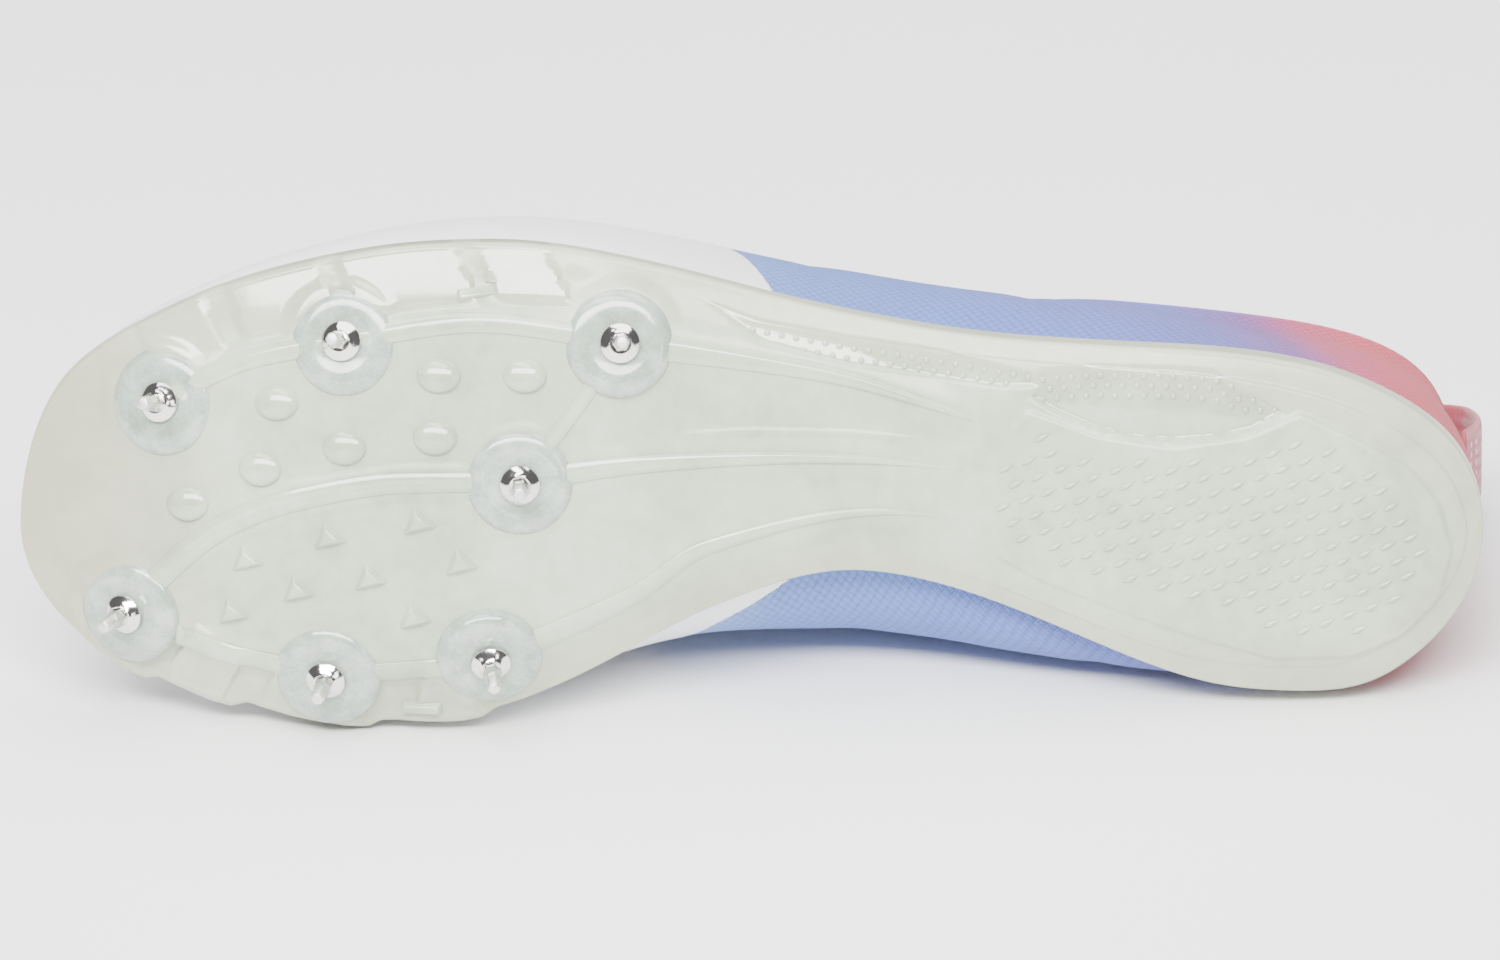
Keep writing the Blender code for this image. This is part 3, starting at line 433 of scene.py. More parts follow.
PALE, DEEP, WARM = (0.49, 0.54, 0.425), (0.34, 0.39, 0.285), (0.41, 0.39, 0.27)
BOSS_PALE, BOSS_DEEP = (0.42, 0.485, 0.415), (0.24, 0.30, 0.25)
plate_plastic = milky_plastic("plate_plastic", PALE, DEEP, WARM, 45.0)
boss_plastic = milky_plastic("boss_plastic", BOSS_PALE, BOSS_DEEP, None, 260.0)

# %% [markdown]
# Track pins are polished steel. Turned steel keeps very fine rings and a few dull marks, and the blunt
# tip is rougher because it meets the track first.

# %% Polished steel
pin_steel, steel, steel_shader = start_finish("pin_steel", Base_Color=(0.80, 0.775, 0.75, 1), Metallic=1.0)
marks = noise(steel, spot(steel), 900.0, 3.0)
dull = between(steel, reading(steel, "tip"), 0.5, 1.0, 0.0, 0.42)
wear = times_plus(steel, marks, 0.12, 0.06)
steel.links.new(sums(steel, "ADD", wear, dull), steel_shader.inputs["Roughness"])
bump_into(steel, steel_shader, marks, 0.12, 0.0002)

# %% [markdown]
# The upper is one thin woven mesh, dyed in a fade: white at the toe, periwinkle at the waist, violet and
# then rose at the heel. A smooth white film is fused over the toe and ends in a slanting edge. The fade
# follows the shoe's own length, and the weave follows the cloth through its UV map, so both stay on the
# surface from any side.

# %% Dyed mesh of the upper
WHITE_FILM = (0.83, 0.83, 0.86)
DYES = (
    (0.04, (0.52, 0.06, 0.095)), (0.11, (0.45, 0.065, 0.14)), (0.17, (0.20, 0.085, 0.31)),
    (0.25, (0.11, 0.125, 0.42)), (0.50, (0.10, 0.165, 0.49)), (0.66, (0.12, 0.205, 0.53)),
    (0.76, (0.24, 0.35, 0.68)), (0.90, (0.45, 0.52, 0.76)),
)
DYED_LENGTH = 200.0
DYE_LEAN = 0.3


def dyed_mesh(name, with_film):
    finish, tree, shader = start_finish(name, Roughness=0.72, Sheen_Weight=0.06, Sheen_Roughness=0.5)
    fade = add(tree, "MapRange", {0: reading(tree, "dye"), 1: 0.0, 2: DYED_LENGTH}).outputs[0]
    dye = ramp(tree, fade, *DYES)
    cloth = spot(tree, "UV")
    turned = {"Vector": cloth, "Rotation": (0, 0, 0.78), "Scale": (70.0, 52.0, 1)}
    even = {"Vector": add(tree, "Mapping", turned).outputs[0], "Scale": 1.0, "Randomness": 0.12}
    cells = add(tree, "TexVoronoi", even, voronoi_dimensions="2D").outputs["Distance"]
    yarn = waves(tree, cloth, 95.0, 1.2, 2.0, "DIAGONAL")
    patchy = times_plus(tree, noise(tree, spot(tree), 60.0, 3.0), 0.16, 1.02)
    dark = times_plus(tree, between(tree, cells, 0.2, 0.7), -0.34, patchy)
    grey = add(tree, "CombineColor", {0: dark, 1: dark, 2: dark}).outputs[0]
    woven = add(tree, "Mix", {0: 1.0, 6: dye, 7: grey}, data_type="RGBA", blend_type="MULTIPLY").outputs[2]
    threads = times_plus(tree, cells, -1.0, times(tree, yarn, 0.35))
    step = None
    if with_film:
        film = between(tree, reading(tree, "film"), -0.12, 0.12)
        woven = blend(tree, film, woven, (*WHITE_FILM, 1))
        threads = times(tree, threads, times_plus(tree, film, -0.93, 1.0))
        tree.links.new(times_plus(tree, film, -0.34, 0.72), shader.inputs["Roughness"])
        step = bump_into(tree, shader, between(tree, reading(tree, "film"), -0.35, 0.35), 0.6, 0.0004)
    bump_into(tree, shader, threads, 0.8, 0.0004, step)
    tree.links.new(woven, shader.inputs["Base Color"])
    return finish


upper_mesh = dyed_mesh("upper_mesh", True)
tongue_mesh = dyed_mesh("tongue_mesh", False)


# %% [markdown]
# Inside are soft knits, and the trims are woven tapes. They share one recipe: two crossed waves for the
# threads, a small shift of colour from thread to thread, and fuzz from the sheen.

# %% Knits and tapes
THREAD_DEPTH = 0.25 * MM


def woven_tape(name, colour, across_scale, along_scale, rough=0.78):
    finish, tree, shader = start_finish(name, Roughness=rough, Sheen_Weight=0.35, Sheen_Roughness=0.45)
    cloth = spot(tree, "UV")
    warp = waves(tree, cloth, across_scale, 0.6, 1.0, "X")
    weft = waves(tree, cloth, along_scale, 0.6, 1.0, "Y")
    threads = times(tree, warp, weft)
    shade = times_plus(tree, noise(tree, cloth, 60.0, 3.0), 0.3, threads)
    low = tuple(0.72 * c for c in colour)
    tree.links.new(ramp(tree, shade, (0.0, low), (0.75, colour)), shader.inputs["Base Color"])
    bump_into(tree, shader, threads, 0.7, THREAD_DEPTH)
    return finish


lining_knit = woven_tape("lining_knit", (0.66, 0.66, 0.70), 60.0, 60.0, 0.9)
binding_tape = woven_tape("binding_tape", (0.52, 0.30, 0.44), 40.0, 90.0)
lace_weave = woven_tape("lace_weave", (0.84, 0.84, 0.87), 45.0, 30.0, 0.7)
loop_weave = woven_tape("loop_weave", (0.46, 0.09, 0.12), 12.0, 55.0)
insole_cloth = woven_tape("insole_cloth", (0.62, 0.64, 0.70), 50.0, 50.0, 0.88)
thread_finish = woven_tape("thread_finish", (0.72, 0.52, 0.62), 30.0, 30.0)
print(len(bpy.data.materials), "materials, with those of the solids")


# %% [markdown]
# ## Helpers for pieces
# Most pieces of a shoe are sheets bent over the last. A flat grid is made with as many squares as
# needed, and each corner is then moved to its place. Points that end up in one place are welded, which
# closes the seams.

# %% Grid over the last
WELD = 0.01 * MM


def draped(places, uvs=None, readings=None, outward=None):
    """Sheet whose corners are put by places[row, column], with its UV map and named numbers."""
    rows, columns = places.shape[0] - 1, places.shape[1] - 1
    bm = bmesh.new()
    bmesh.ops.create_grid(bm, x_segments=columns, y_segments=rows, size=0.5)
    bm.verts.ensure_lookup_table()
    flat = np.array([vert.co for vert in bm.verts])
    column = np.rint((flat[:, 0] + 0.5) * columns).astype(int)
    row = np.rint((flat[:, 1] + 0.5) * rows).astype(int)
    for vert, place in zip(bm.verts, places[row, column].tolist()):
        vert.co = place
    for key, values in (readings or {}).items():
        layer = bm.verts.layers.float.new(key)
        for vert, value in zip(bm.verts, values[row, column].tolist()):
            vert[layer] = value
    if uvs is not None:
        layer = bm.loops.layers.uv.new("cloth")
        flat_uv = uvs[row, column].tolist()
        for face in bm.faces:
            for loop in face.loops:
                loop[layer].uv = flat_uv[loop.vert.index]
    bmesh.ops.remove_doubles(bm, verts=bm.verts, dist=WELD)
    bmesh.ops.dissolve_degenerate(bm, edges=bm.edges, dist=0.002 * MM)
    bmesh.ops.recalc_face_normals(bm, faces=bm.faces)
    if outward is not None:
        point, way = outward
        nearest = min(bm.faces, key=lambda f: (f.calc_center_median() - Vector(point)).length)
        if nearest.normal.dot(Vector(way)) < 0:
            bmesh.ops.reverse_faces(bm, faces=bm.faces)
    return bm


def close_ends(bm):
    rims = [edge for edge in bm.edges if edge.is_boundary]
    bmesh.ops.holes_fill(bm, edges=rims, sides=0)
    bmesh.ops.recalc_face_normals(bm, faces=bm.faces)


def dye_number(x, z):
    """Place along the fade in millimetres. The fade leans with the shoe's height."""
    return x - DYE_LEAN * (z - 12)


def finish_piece(name, bm, finishes, node_names, smooth=math.radians(38)):
    """Lay a made mesh down with the shoe, give it its finishes and hang it on the body."""
    if not bm.verts.layers.float.get("dye"):
        layer = bm.verts.layers.float.new("dye")
        for vert in bm.verts:
            vert[layer] = dye_number(vert.co.x / MM, vert.co.z / MM)
    bm.transform(LAID)
    mesh = bpy.data.meshes.new(name)
    bm.to_mesh(mesh)
    bm.free()
    mesh.shade_smooth()
    if smooth:
        mesh.set_sharp_from_angle(angle=smooth)
    piece = bpy.data.objects.new(name, mesh)
    bpy.context.scene.collection.objects.link(piece)
    for finish in finishes:
        mesh.materials.append(finish)
    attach(piece, "root")
    if node_names:
        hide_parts(*node_names)
    print(name, len(mesh.polygons), "faces")
    return piece


def arc_lengths(places, axis):
    steps = np.linalg.norm(np.diff(places, axis=axis), axis=-1)
    start = np.zeros_like(np.take(steps, [0], axis=axis))
    return np.concatenate((start, np.cumsum(steps, axis=axis)), axis=axis)


def cloth_map(round_it, places):
    """UV map of a sheet: once round it, and up along each of its columns."""
    across = np.repeat(round_it, len(places), axis=0)
    return np.stack((across, arc_lengths(places, 0)), axis=-1) / UV_UNIT


def smooth_step(value, low, high):
    t = np.clip((value - low) / (high - low), 0, 1)
    return t * t * (3 - 2 * t)


def distance_to_path(x, y, path):
    """Distance of points to a broken line, and how far along it they are, from 0 to 1."""
    best = np.full(np.shape(x), 1e9)
    where = np.zeros(np.shape(x))
    total = len(path) - 1
    for k, ((ax, ay), (bx, by)) in enumerate(zip(path, path[1:])):
        dx, dy = bx - ax, by - ay
        t = np.clip(((x - ax) * dx + (y - ay) * dy) / (dx * dx + dy * dy), 0, 1)
        gap = np.hypot(x - ax - t * dx, y - ay - t * dy)
        where = np.where(gap < best, (k + t) / total, where)
        best = np.minimum(best, gap)
    return best, where


def inside_area(x, y, corners):
    """Signed distance to a closed area, more than zero inside."""
    edge, _ = distance_to_path(x, y, list(corners) + [corners[0]])
    hit = np.zeros(np.shape(x), bool)
    for (ax, ay), (bx, by) in zip(corners, list(corners[1:]) + [corners[0]]):
        crosses = (ay > y) != (by > y)
        slope = (bx - ax) / (by - ay if by != ay else 1e-12)
        hit ^= crosses & (x < ax + (y - ay) * slope)
    return np.where(hit, edge, -edge)


# %% [markdown]
# ## Sole plate
# The plate is one moulding, and its relief is made in the mould. Broad forms go into the surface itself:
# the raised heel pad, two hollow crescents on the outer side, soft slopes beside the ribs and cleats cut
# in the edge of the forefoot. Small crisp things, the bosses, ribs, nubs and ticks, are set on it
# afterwards as pieces of their own.

# %% Tables of the plate's relief, in millimetres
BOSSES = {
    "spike_1": (0.902, 0.137), "spike_2": (0.777, 0.279), "spike_3": (0.588, 0.285),
    "spike_4": (0.656, 0.000), "spike_5": (0.928, -0.305), "spike_6": (0.789, -0.420),
    "spike_7": (0.676, -0.380),
}
# half-width at each end, slope beside it, route
RIBS = {
    "front_lateral": (1.7, 1.9, 1.0, ((0.902, 0.137), (0.840, 0.232), (0.777, 0.279))),
    "outer_lateral": (1.9, 1.9, 1.2, ((0.777, 0.279), (0.684, 0.322), (0.588, 0.285))),
    "waist_lateral": (2.6, 0.5, 3.2, ((0.588, 0.285), (0.440, 0.202), (0.332, 0.100))),
    "centre_front": (
        2.4, 1.9, 1.2, ((0.928, -0.305), (0.862, -0.120), (0.811, -0.052), (0.738, -0.008), (0.656, 0.0)),
    ),
    "centre_back": (
        2.2, 0.5, 3.0, ((0.656, 0.0), (0.568, 0.034), (0.490, 0.039), (0.431, 0.033), (0.355, 0.010)),
    ),
    "front_medial": (1.9, 1.9, 1.0, ((0.928, -0.305), (0.857, -0.385), (0.789, -0.420))),
    "outer_medial": (1.9, 1.9, 1.0, ((0.789, -0.420), (0.732, -0.406), (0.676, -0.380))),
    "waist_medial": (
        2.4, 0.5, 3.2,
        ((0.676, -0.380), (0.577, -0.240), (0.529, -0.146), (0.411, -0.077), (0.354, -0.091)),
    ),
    "link": (1.5, 1.5, 1.0, ((0.588, 0.285), (0.620, 0.142), (0.656, 0.0))),
}
HEEL_PAD = [tuple(corner) for corner in (PAD_CORNERS * (LENGTH / MM, BALL_WIDTH / MM)).tolist()]
WAIST_CRESCENT = (
    (149.0, 34.2), (137.6, 29.9), (120.5, 26.4), (101.5, 23.6), (86.4, 19.8), (84.6, 17.4),
    (92.0, 17.0), (101.5, 18.2), (120.5, 21.0), (137.6, 25.6),
)
HEEL_CRESCENT = (
    (84.0, 20.6), (74.0, 21.6), (60.0, 21.4), (52.2, 20.8), (46.5, 17.6), (38.0, 12.8), (44.0, 9.4),
    (51.0, 7.8), (58.8, 7.2), (66.0, 7.6), (73.8, 9.4), (81.0, 12.2), (86.0, 15.0),
)
# cleats of the forefoot edge: side, from X, to X, how far they stand out
EDGE_CLEATS = (
    (1, 193.5, 215.5, 1.1), (1, 219.5, 237.0, 1.1), (1, 242.0, 254.0, 1.0), (1, 176.0, 189.0, 0.8),
    (-1, 190.0, 202.5, 1.4), (-1, 212.0, 231.0, 1.4), (-1, 238.0, 249.0, 1.5), (-1, 254.5, 264.0, 1.3),
)
RIB_HEIGHT = 1.3
RIB_SLOPE_HEIGHT, SLOPE_MARGIN, FADE_FROM = 0.75, 1.4, 0.75
HALO_HEIGHT, HALO_INNER, HALO_OUTER = 0.7, 9.6, 12.4
LINE_HEIGHT, LINE_ROUTE = 0.35, [(158.4, 8.3), (140.0, 8.9), (120.0, 8.0), (101.3, 6.2)]
RIM_STEP, RIM_FROM, RIM_ENDS_AT = 0.28, 0.845, (88, 110)
# how far the facets of the edge slant, where they begin, and how deep the scoops between them are
SLANT, SLANT_MIDDLE = 20.0, 0.88
FACET_FROM, FACET_NEARER, FACET_HEIGHT, SCOOP_DEPTH = 0.745, 0.08, 0.5, 0.7
# upper edge of both hollows: X, then Y
HOLLOW_TOP = (
    (46, 52, 60, 74, 84, 101, 120, 138, 149),
    (18.4, 20.6, 21.2, 21.2, 20.2, 22.8, 25.6, 29.2, 33.0),
)
# hollow: corners, depth at its upper edge, more depth below, over this width, softness of its lower edge
HOLLOWS = ((WAIST_CRESCENT, 0.2, 0.5, 5.0, 0.5), (HEEL_CRESCENT, 0.3, 0.95, 9.5, 0.6))


def rib_path(route):
    return [(s * LENGTH / MM, o * BALL_WIDTH / MM) for s, o in route]


# %% Relief of the underside
def slanted_place(x, share):
    return x - SLANT * (share - SLANT_MIDDLE)


def edge_relief(x, side, share):
    """Slanting facets of the forefoot's edge, and the scoops between them."""
    facets, forefoot = np.zeros(np.shape(x)), np.zeros(np.shape(x))
    place = slanted_place(x, share)
    inner = FACET_FROM - FACET_NEARER * smooth_step(x, 238, 245)
    for cleat_side, start, end, depth in EDGE_CLEATS:
        here = side == cleat_side
        begun = smooth_step(place, start - 0.5, start + 0.1)
        ended = smooth_step(place, end - 0.2, end + 0.5)
        across_it = smooth_step(share, inner, inner + 0.045)
        facets = np.maximum(facets, depth * begun * (1 - ended) * across_it * here)
        near_it = smooth_step(x, start - 12.0, start - 4.0) * (1 - smooth_step(x, end + 4.0, end + 12.0))
        forefoot = np.maximum(forefoot, near_it * here)
    scoop = np.sin(math.pi * np.clip((share - 0.70) / 0.27, 0, 1)) ** 2
    return FACET_HEIGHT * facets - SCOOP_DEPTH * scoop * forefoot * (facets < 0.02)


def relief(x, y, side, share):
    """How far the mould pushes the underside out, in millimetres."""
    out = np.zeros(np.shape(x))
    for start, end, slope, route in RIBS.values():
        gap, where = distance_to_path(x, y, rib_path(route))
        half = start + (end - start) * where
        fade = 1 - smooth_step(where, FADE_FROM, 1.0) if end < 1 else 1.0
        swell = 1 - smooth_step(gap, half, half + slope + SLOPE_MARGIN)
        out = np.maximum(out, RIB_SLOPE_HEIGHT * fade * swell)
    for station, offset in BOSSES.values():
        gap = np.hypot(x - station * LENGTH / MM, y - offset * BALL_WIDTH / MM)
        out = np.maximum(out, HALO_HEIGHT * (1 - smooth_step(gap, HALO_INNER, HALO_OUTER)))
    out += PAD_HEIGHT / MM * smooth_step(inside_area(x, y, HEEL_PAD), -0.5, 0.5)
    below = np.interp(x, *HOLLOW_TOP) - y
    for corners, depth, more, width, soft in HOLLOWS:
        hollow = depth + more * np.clip(below / width, 0, 1.3)
        out -= hollow * smooth_step(inside_area(x, y, corners), -0.2, soft)
    line, where = distance_to_path(x, y, LINE_ROUTE)
    line_ends = smooth_step(np.abs(where - 0.5), 0.3, 0.5)
    out += LINE_HEIGHT * (1 - smooth_step(line, 0.25, 0.9)) * (1 - line_ends)
    out -= RIM_STEP * smooth_step(share, RIM_FROM, RIM_FROM + 0.015) * (1 - smooth_step(x, *RIM_ENDS_AT))
    return out + edge_relief(x, side, share)


def glossy_area(x, y, side, share):
    """1 where the mould is polished: in both hollows and on the facets of the edge."""
    polished = np.zeros(np.shape(x), bool)
    for corners, *_ in HOLLOWS:
        polished |= inside_area(x, y, corners) > 0.1
    place = slanted_place(x, share)
    for cleat_side, start, end, _ in EDGE_CLEATS:
        polished |= (place > start) & (place < end) & (share > 0.76) & (side == cleat_side)
    return polished * 1.0


# %% Sheet of the plate
AROUND = 760
EDGE_DROP, LIP_ROUND, QUARTER = 1.0 * MM, 0.45 * MM, math.pi / 2
side, turn = round_the_foot(AROUND)
rows, shares, satin = [], [], []


def add_row(flat, height, share=1.0):
    rows.append(stack(flat[:, 0], flat[:, 1], height))
    shares.append(share)


for share in np.concatenate((np.linspace(0, 0.72, 52), np.linspace(0.728, 0.975, 34))):
    flat = spoke(side, turn, share)
    x, y = flat[:, 0] / MM, flat[:, 1] / MM
    add_row(flat, tread_height(flat[:, 0], share) - relief(x, y, side, share) * MM, share)
    satin.append(1 - glossy_area(x, y, side, share))
last_low, last_flat = rows[-1][:, 2], rows[-1][:, :2]
edge, top = edge_at(side, turn), lip_top(side, turn)
edge_low = tread_height(edge[:, 0], 1.0)
# on the inner side the cleats stand out of the outline as teeth
push = np.zeros(AROUND + 1)
x = edge[:, 0] / MM
for cleat_side, start, end, depth in EDGE_CLEATS:
    tooth = np.clip(np.minimum((x - start + 2.2) / 2.2, (end + 4 - x) / (end - start)), 0, 1)
    push = np.maximum(push, depth * tooth * (cleat_side < 0) * (side < 0) * MM)
out_push = unit(edge - spine_at(turn)) * push[:, None]
for step in np.linspace(0.12, 1, 8):
    flat = last_flat + (edge + out_push - last_flat) * math.sin(step * QUARTER)
    add_row(flat, last_low + (edge_low + EDGE_DROP - last_low) * (1 - math.cos(step * QUARTER)))
brim = rows[-1][:, 2]
for step in np.linspace(0.15, 1, 7):
    add_row(edge + out_push * (1 - smooth_step(step, 0, 0.8)), brim + (top - LIP_ROUND - brim) * step)
for step in np.linspace(0.2, 1, 5):
    flat = spoke(side, turn, 1.0, LIP_ROUND * (1 - math.cos(step * QUARTER)))
    add_row(flat, top - LIP_ROUND * (1 - math.sin(step * QUARTER)))
inner = spoke(side, turn, 1.0, LIP_WALL)
inner_low = tread_height(inner[:, 0], share_inside(side, turn, LIP_WALL)) + PLATE_WALL
for step in np.linspace(0, 1, 4):
    add_row(inner, top + (inner_low - top) * step)
for share in np.linspace(0.9, 0, 10):
    inside = tread_at(side, turn, share, PLATE_WALL)
    add_row(inside, inside[:, 2], share)
places = np.array(rows)
satin += [satin[-1]] * (len(rows) - len(satin))
plate_readings = {
    "ahead": places[..., 0] / MM,
    "rim": np.repeat(np.array(shares)[:, None], AROUND + 1, axis=1),
    "satin": np.array(satin),
}
plate_bm = draped(places, places[..., :2] / UV_UNIT, plate_readings)
plate_tree = BVHTree.FromBMesh(plate_bm)
finish_piece("plate", plate_bm, [plate_plastic], ["sole_plate"])


# %% [markdown]
# Everything on the underside is set with one helper: a ray from below finds the surface, and two more
# beside it tell its slope. The helper gives a frame whose Z points out of the sole.

# %% Seats on the underside
def height_under(x, y):
    for shift in (0.0, 0.03 * MM, -0.05 * MM, 0.4 * MM):
        hit = plate_tree.ray_cast(Vector((x + shift, y + shift / 3, -1)), Vector((0, 0, 1)))
        if hit[0] is not None:
            return hit[0].z
    return plate_tree.find_nearest(Vector((x, y, 0)))[0].z


def seat(x, y, reach=4 * MM, spin=0.0):
    """Frame on the plate's face, with Z along the normal there and X toward the heel."""
    slope_x = (height_under(x + reach, y) - height_under(x - reach, y)) / (2 * reach)
    slope_y = (height_under(x, y + reach) - height_under(x, y - reach)) / (2 * reach)
    out = Vector((slope_x, slope_y, -1)).normalized()
    forward = Vector((1, 0, slope_x)).normalized()
    axes = Matrix((forward, out.cross(forward), out)).transposed().to_4x4()
    return Matrix.Translation((x, y, height_under(x, y))) @ axes @ Matrix.Rotation(spin, 4, "Z")


def turned_piece(profile, steps, frame_at):
    """Profile of radius and height spun round Z and moved to its frame."""
    bm = bmesh.new()
    points = [bm.verts.new((radius * MM, 0, height * MM)) for radius, height in profile]
    lines = [bm.edges.new(pair) for pair in zip(points, points[1:])]
    bmesh.ops.spin(
        bm, geom=points + lines, cent=(0, 0, 0), axis=(0, 0, 1), angle=math.tau, steps=steps,
        use_merge=True, use_duplicate=False,
    )
    bmesh.ops.remove_doubles(bm, verts=bm.verts, dist=0.001 * MM)
    bmesh.ops.recalc_face_normals(bm, faces=bm.faces)
    bm.transform(frame_at)
    return bm


def eased(bm, width):
    """All edges of a small solid rounded by this many millimetres."""
    bmesh.ops.bevel(
        bm, geom=bm.edges[:], offset=width * MM, offset_type="OFFSET", affect="EDGES", segments=3,
        profile=0.5, material=-1, clamp_overlap=True,
    )


def joined(parts):
    """One mesh of many, by way of a mesh that each is added to."""
    whole = bmesh.new()
    for part in parts:
        mesh = bpy.data.meshes.new("part")
        part.to_mesh(mesh)
        part.free()
        whole.from_mesh(mesh)
        bpy.data.meshes.remove(mesh)
    return whole


# %% [markdown]
# A boss is the thick disc that takes a pin. It has a soft shoulder and a shallow dish round the hole.
# The dish is turned in its profile, which is simpler than sinking it afterwards.

# %% Bosses
BOSS_PROFILE = (
    (0, -1.2), (10.3, -1.2), (10.3, 0.55), (9.75, 1.35), (8.9, 1.95), (7.7, 2.25), (6.6, 2.36),
    (5.6, 2.30), (4.9, 2.12), (2.66, 2.12), (2.66, -1.0), (0, -1.0),
)
# a pin in the solids reaches from this far under the plate's skin to this far out of it
PIN_FOOT, PIN_TIP = (2.4 - 3.0) * MM, (2.4 + 0.35 + 1.9 + 6.35) * MM
boss_seats = {name: seat(s * LENGTH, o * BALL_WIDTH) for name, (s, o) in BOSSES.items()}


def cad_seat(name):
    """Seat of a boss on the plain surface of the last, where the solids have it."""
    pin_low, pin_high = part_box(name)
    centre = LAID.inverted() @ ((Vector(pin_low) + Vector(pin_high)) / 2)
    out = boss_seats[name].to_3x3() @ Vector((0, 0, 1))
    placed = boss_seats[name].copy()
    placed.translation = centre - out * (PIN_FOOT + PIN_TIP) / 2
    return placed


seats = {name: cad_seat(name) for name in BOSSES}
for name, placed in seats.items():
    print(name, "moved by", round((placed.translation - boss_seats[name].translation).length / MM, 2), "mm")
bosses = joined([turned_piece(BOSS_PROFILE, 72, seats[name]) for name in BOSSES])
finish_piece("bosses", bosses, [boss_plastic], [])


# %% [markdown]
# A pin is screwed in with a small wrench, so its stem has flats: a six-sided, slowly narrowing pin on a
# conical flange. The flange is turned. The pin is a six-sided cone with its edges bevelled.

# %% Steel pins
FLANGE_PROFILE = (
    (0, -0.6), (2.3, -0.6), (2.3, 2.2), (2.9, 2.45), (3.72, 2.55), (3.8, 2.75), (3.74, 3.1), (3.3, 3.55),
    (2.75, 3.98), (2.3, 4.3), (2.05, 4.62), (0, 4.7),
)
FLANGE_TOP, PIN_LENGTH, TIP_FROM = 4.45, 6.5, 9.6


def pin(frame_at, spin):
    flange = turned_piece(FLANGE_PROFILE, 64, Matrix.Identity(4))
    stem = bmesh.new()
    bmesh.ops.create_cone(
        stem, cap_ends=True, cap_tris=False, segments=6, radius1=2.05 * MM, radius2=1.28 * MM,
        depth=PIN_LENGTH * MM, matrix=Matrix.Translation((0, 0, (FLANGE_TOP + PIN_LENGTH / 2) * MM)),
    )
    eased(stem, 0.34)
    whole = joined([flange, stem])
    layer = whole.verts.layers.float.new("tip")
    for vert in whole.verts:
        vert[layer] = max(0.0, min(1.0, vert.co.z / MM - TIP_FROM))
    whole.transform(frame_at @ Matrix.Rotation(spin, 4, "Z"))
    return whole


for number, name in enumerate(BOSSES):
    pin_bm = pin(seats[name], 0.5 + 1.1 * number)
    finish_piece("pin_" + name[-1], pin_bm, [pin_steel], [name], math.radians(24))


# %% [markdown]
# Ribs are bars with a flat crown and rounded edges that follow the surface. A closed section is swept
# along each route, and a rib that fades out narrows and sinks into the plate.

# %% Ribs
def swept(sections):
    """Closed tube through rings of points, with its ends closed and its UV map along it."""
    places = np.array([list(ring) + [ring[0]] for ring in sections], float)
    round_it = arc_lengths(places[len(places) // 2:][:1], 1)
    bm = draped(places, cloth_map(round_it, places))
    close_ends(bm)
    return bm


def soft_ring(point, aside, out, half_wide, half_thick, count, bends):
    """Ring of points round a place. Bends below 1 turn its ellipse toward a box."""
    ring = []
    for step in range(count):
        a = math.tau * step / count
        wide = math.copysign(abs(math.cos(a)) ** bends[0], math.cos(a))
        high = math.copysign(abs(math.sin(a)) ** bends[1], math.sin(a))
        ring.append(point + aside * wide * half_wide + out * high * half_thick)
    return ring


def smooth_route(points, count):
    points = np.array(points, float)
    reach = np.concatenate(([0.0], np.cumsum(np.linalg.norm(np.diff(points, axis=0), axis=1))))
    steps = np.linspace(0, reach[-1], count)
    return np.stack([follow(reach, points[:, axis], steps) for axis in range(points.shape[1])], axis=-1)


CROWN = (
    (-1.0, -1.4), (-1.0, 0.2), (-0.96, 0.38), (-0.9, 0.5), (-0.5, 0.95), (-0.4, 1.0), (0.0, 1.02),
    (0.4, 1.0), (0.5, 0.95), (0.9, 0.5), (0.96, 0.38), (1.0, 0.2), (1.0, -1.4),
)


def rib(start, end, route):
    path = smooth_route(rib_path(route), 26 * (len(route) - 1) + 1) * MM
    sections = []
    for k, (x, y) in enumerate(path):
        share = k / (len(path) - 1)
        before, after = path[max(k - 1, 0)], path[min(k + 1, len(path) - 1)]
        run = Vector((after[0] - before[0], after[1] - before[1], 0)).normalized()
        aside = Vector((-run.y, run.x, 0))
        half = (start + (end - start) * share) * MM
        sink = 0.75 * MM * smooth_step(share, 0.72, 1.0) if end < 1 else 0.0
        low = height_under(x, y)
        left, right = (height_under(x + way * aside.x * half, y + way * aside.y * half) for way in (-1, 1))
        ring = []
        for a, b in CROWN:
            base = (left * (1 - a) + right * (1 + a)) / 2 if abs(right - left) < 2 * MM else low
            lift = (RIB_HEIGHT - 0.55) * MM * b - sink
            ring.append(Vector((x, y, base - lift)) + aside * a * half)
        sections.append(ring)
    return swept(sections)


ribs = joined([rib(start, end, route) for start, end, _, route in RIBS.values()])
finish_piece("ribs", ribs, [plate_plastic], [], math.radians(50))


# %% [markdown]
# Between the ribs stand nubs for grip: low domes toward the outer side, and three-sided ones like
# arrowheads toward the inner side. Short glossy bars stand on the edge between bosses.

# %% Nubs and short bars
HEEL_PIXEL, AXIS_PIXEL, PIXELS_PER_MM = 1485, 480, 5.27
DOMES = ((439, 375), (525, 375), (276, 402), (344, 447), (435, 437), (259, 468), (186, 503))
# short bars: place, length, width, spin
SHORT_BARS = (((420, 709), 8.0, 2.6, 0.0), ((478, 293), 8.6, 3.0, 0.1))
ARROWS = ((418, 523), (328, 538), (245, 560), (460, 564), (369, 579), (296, 591), (230, 613), (413, 618))


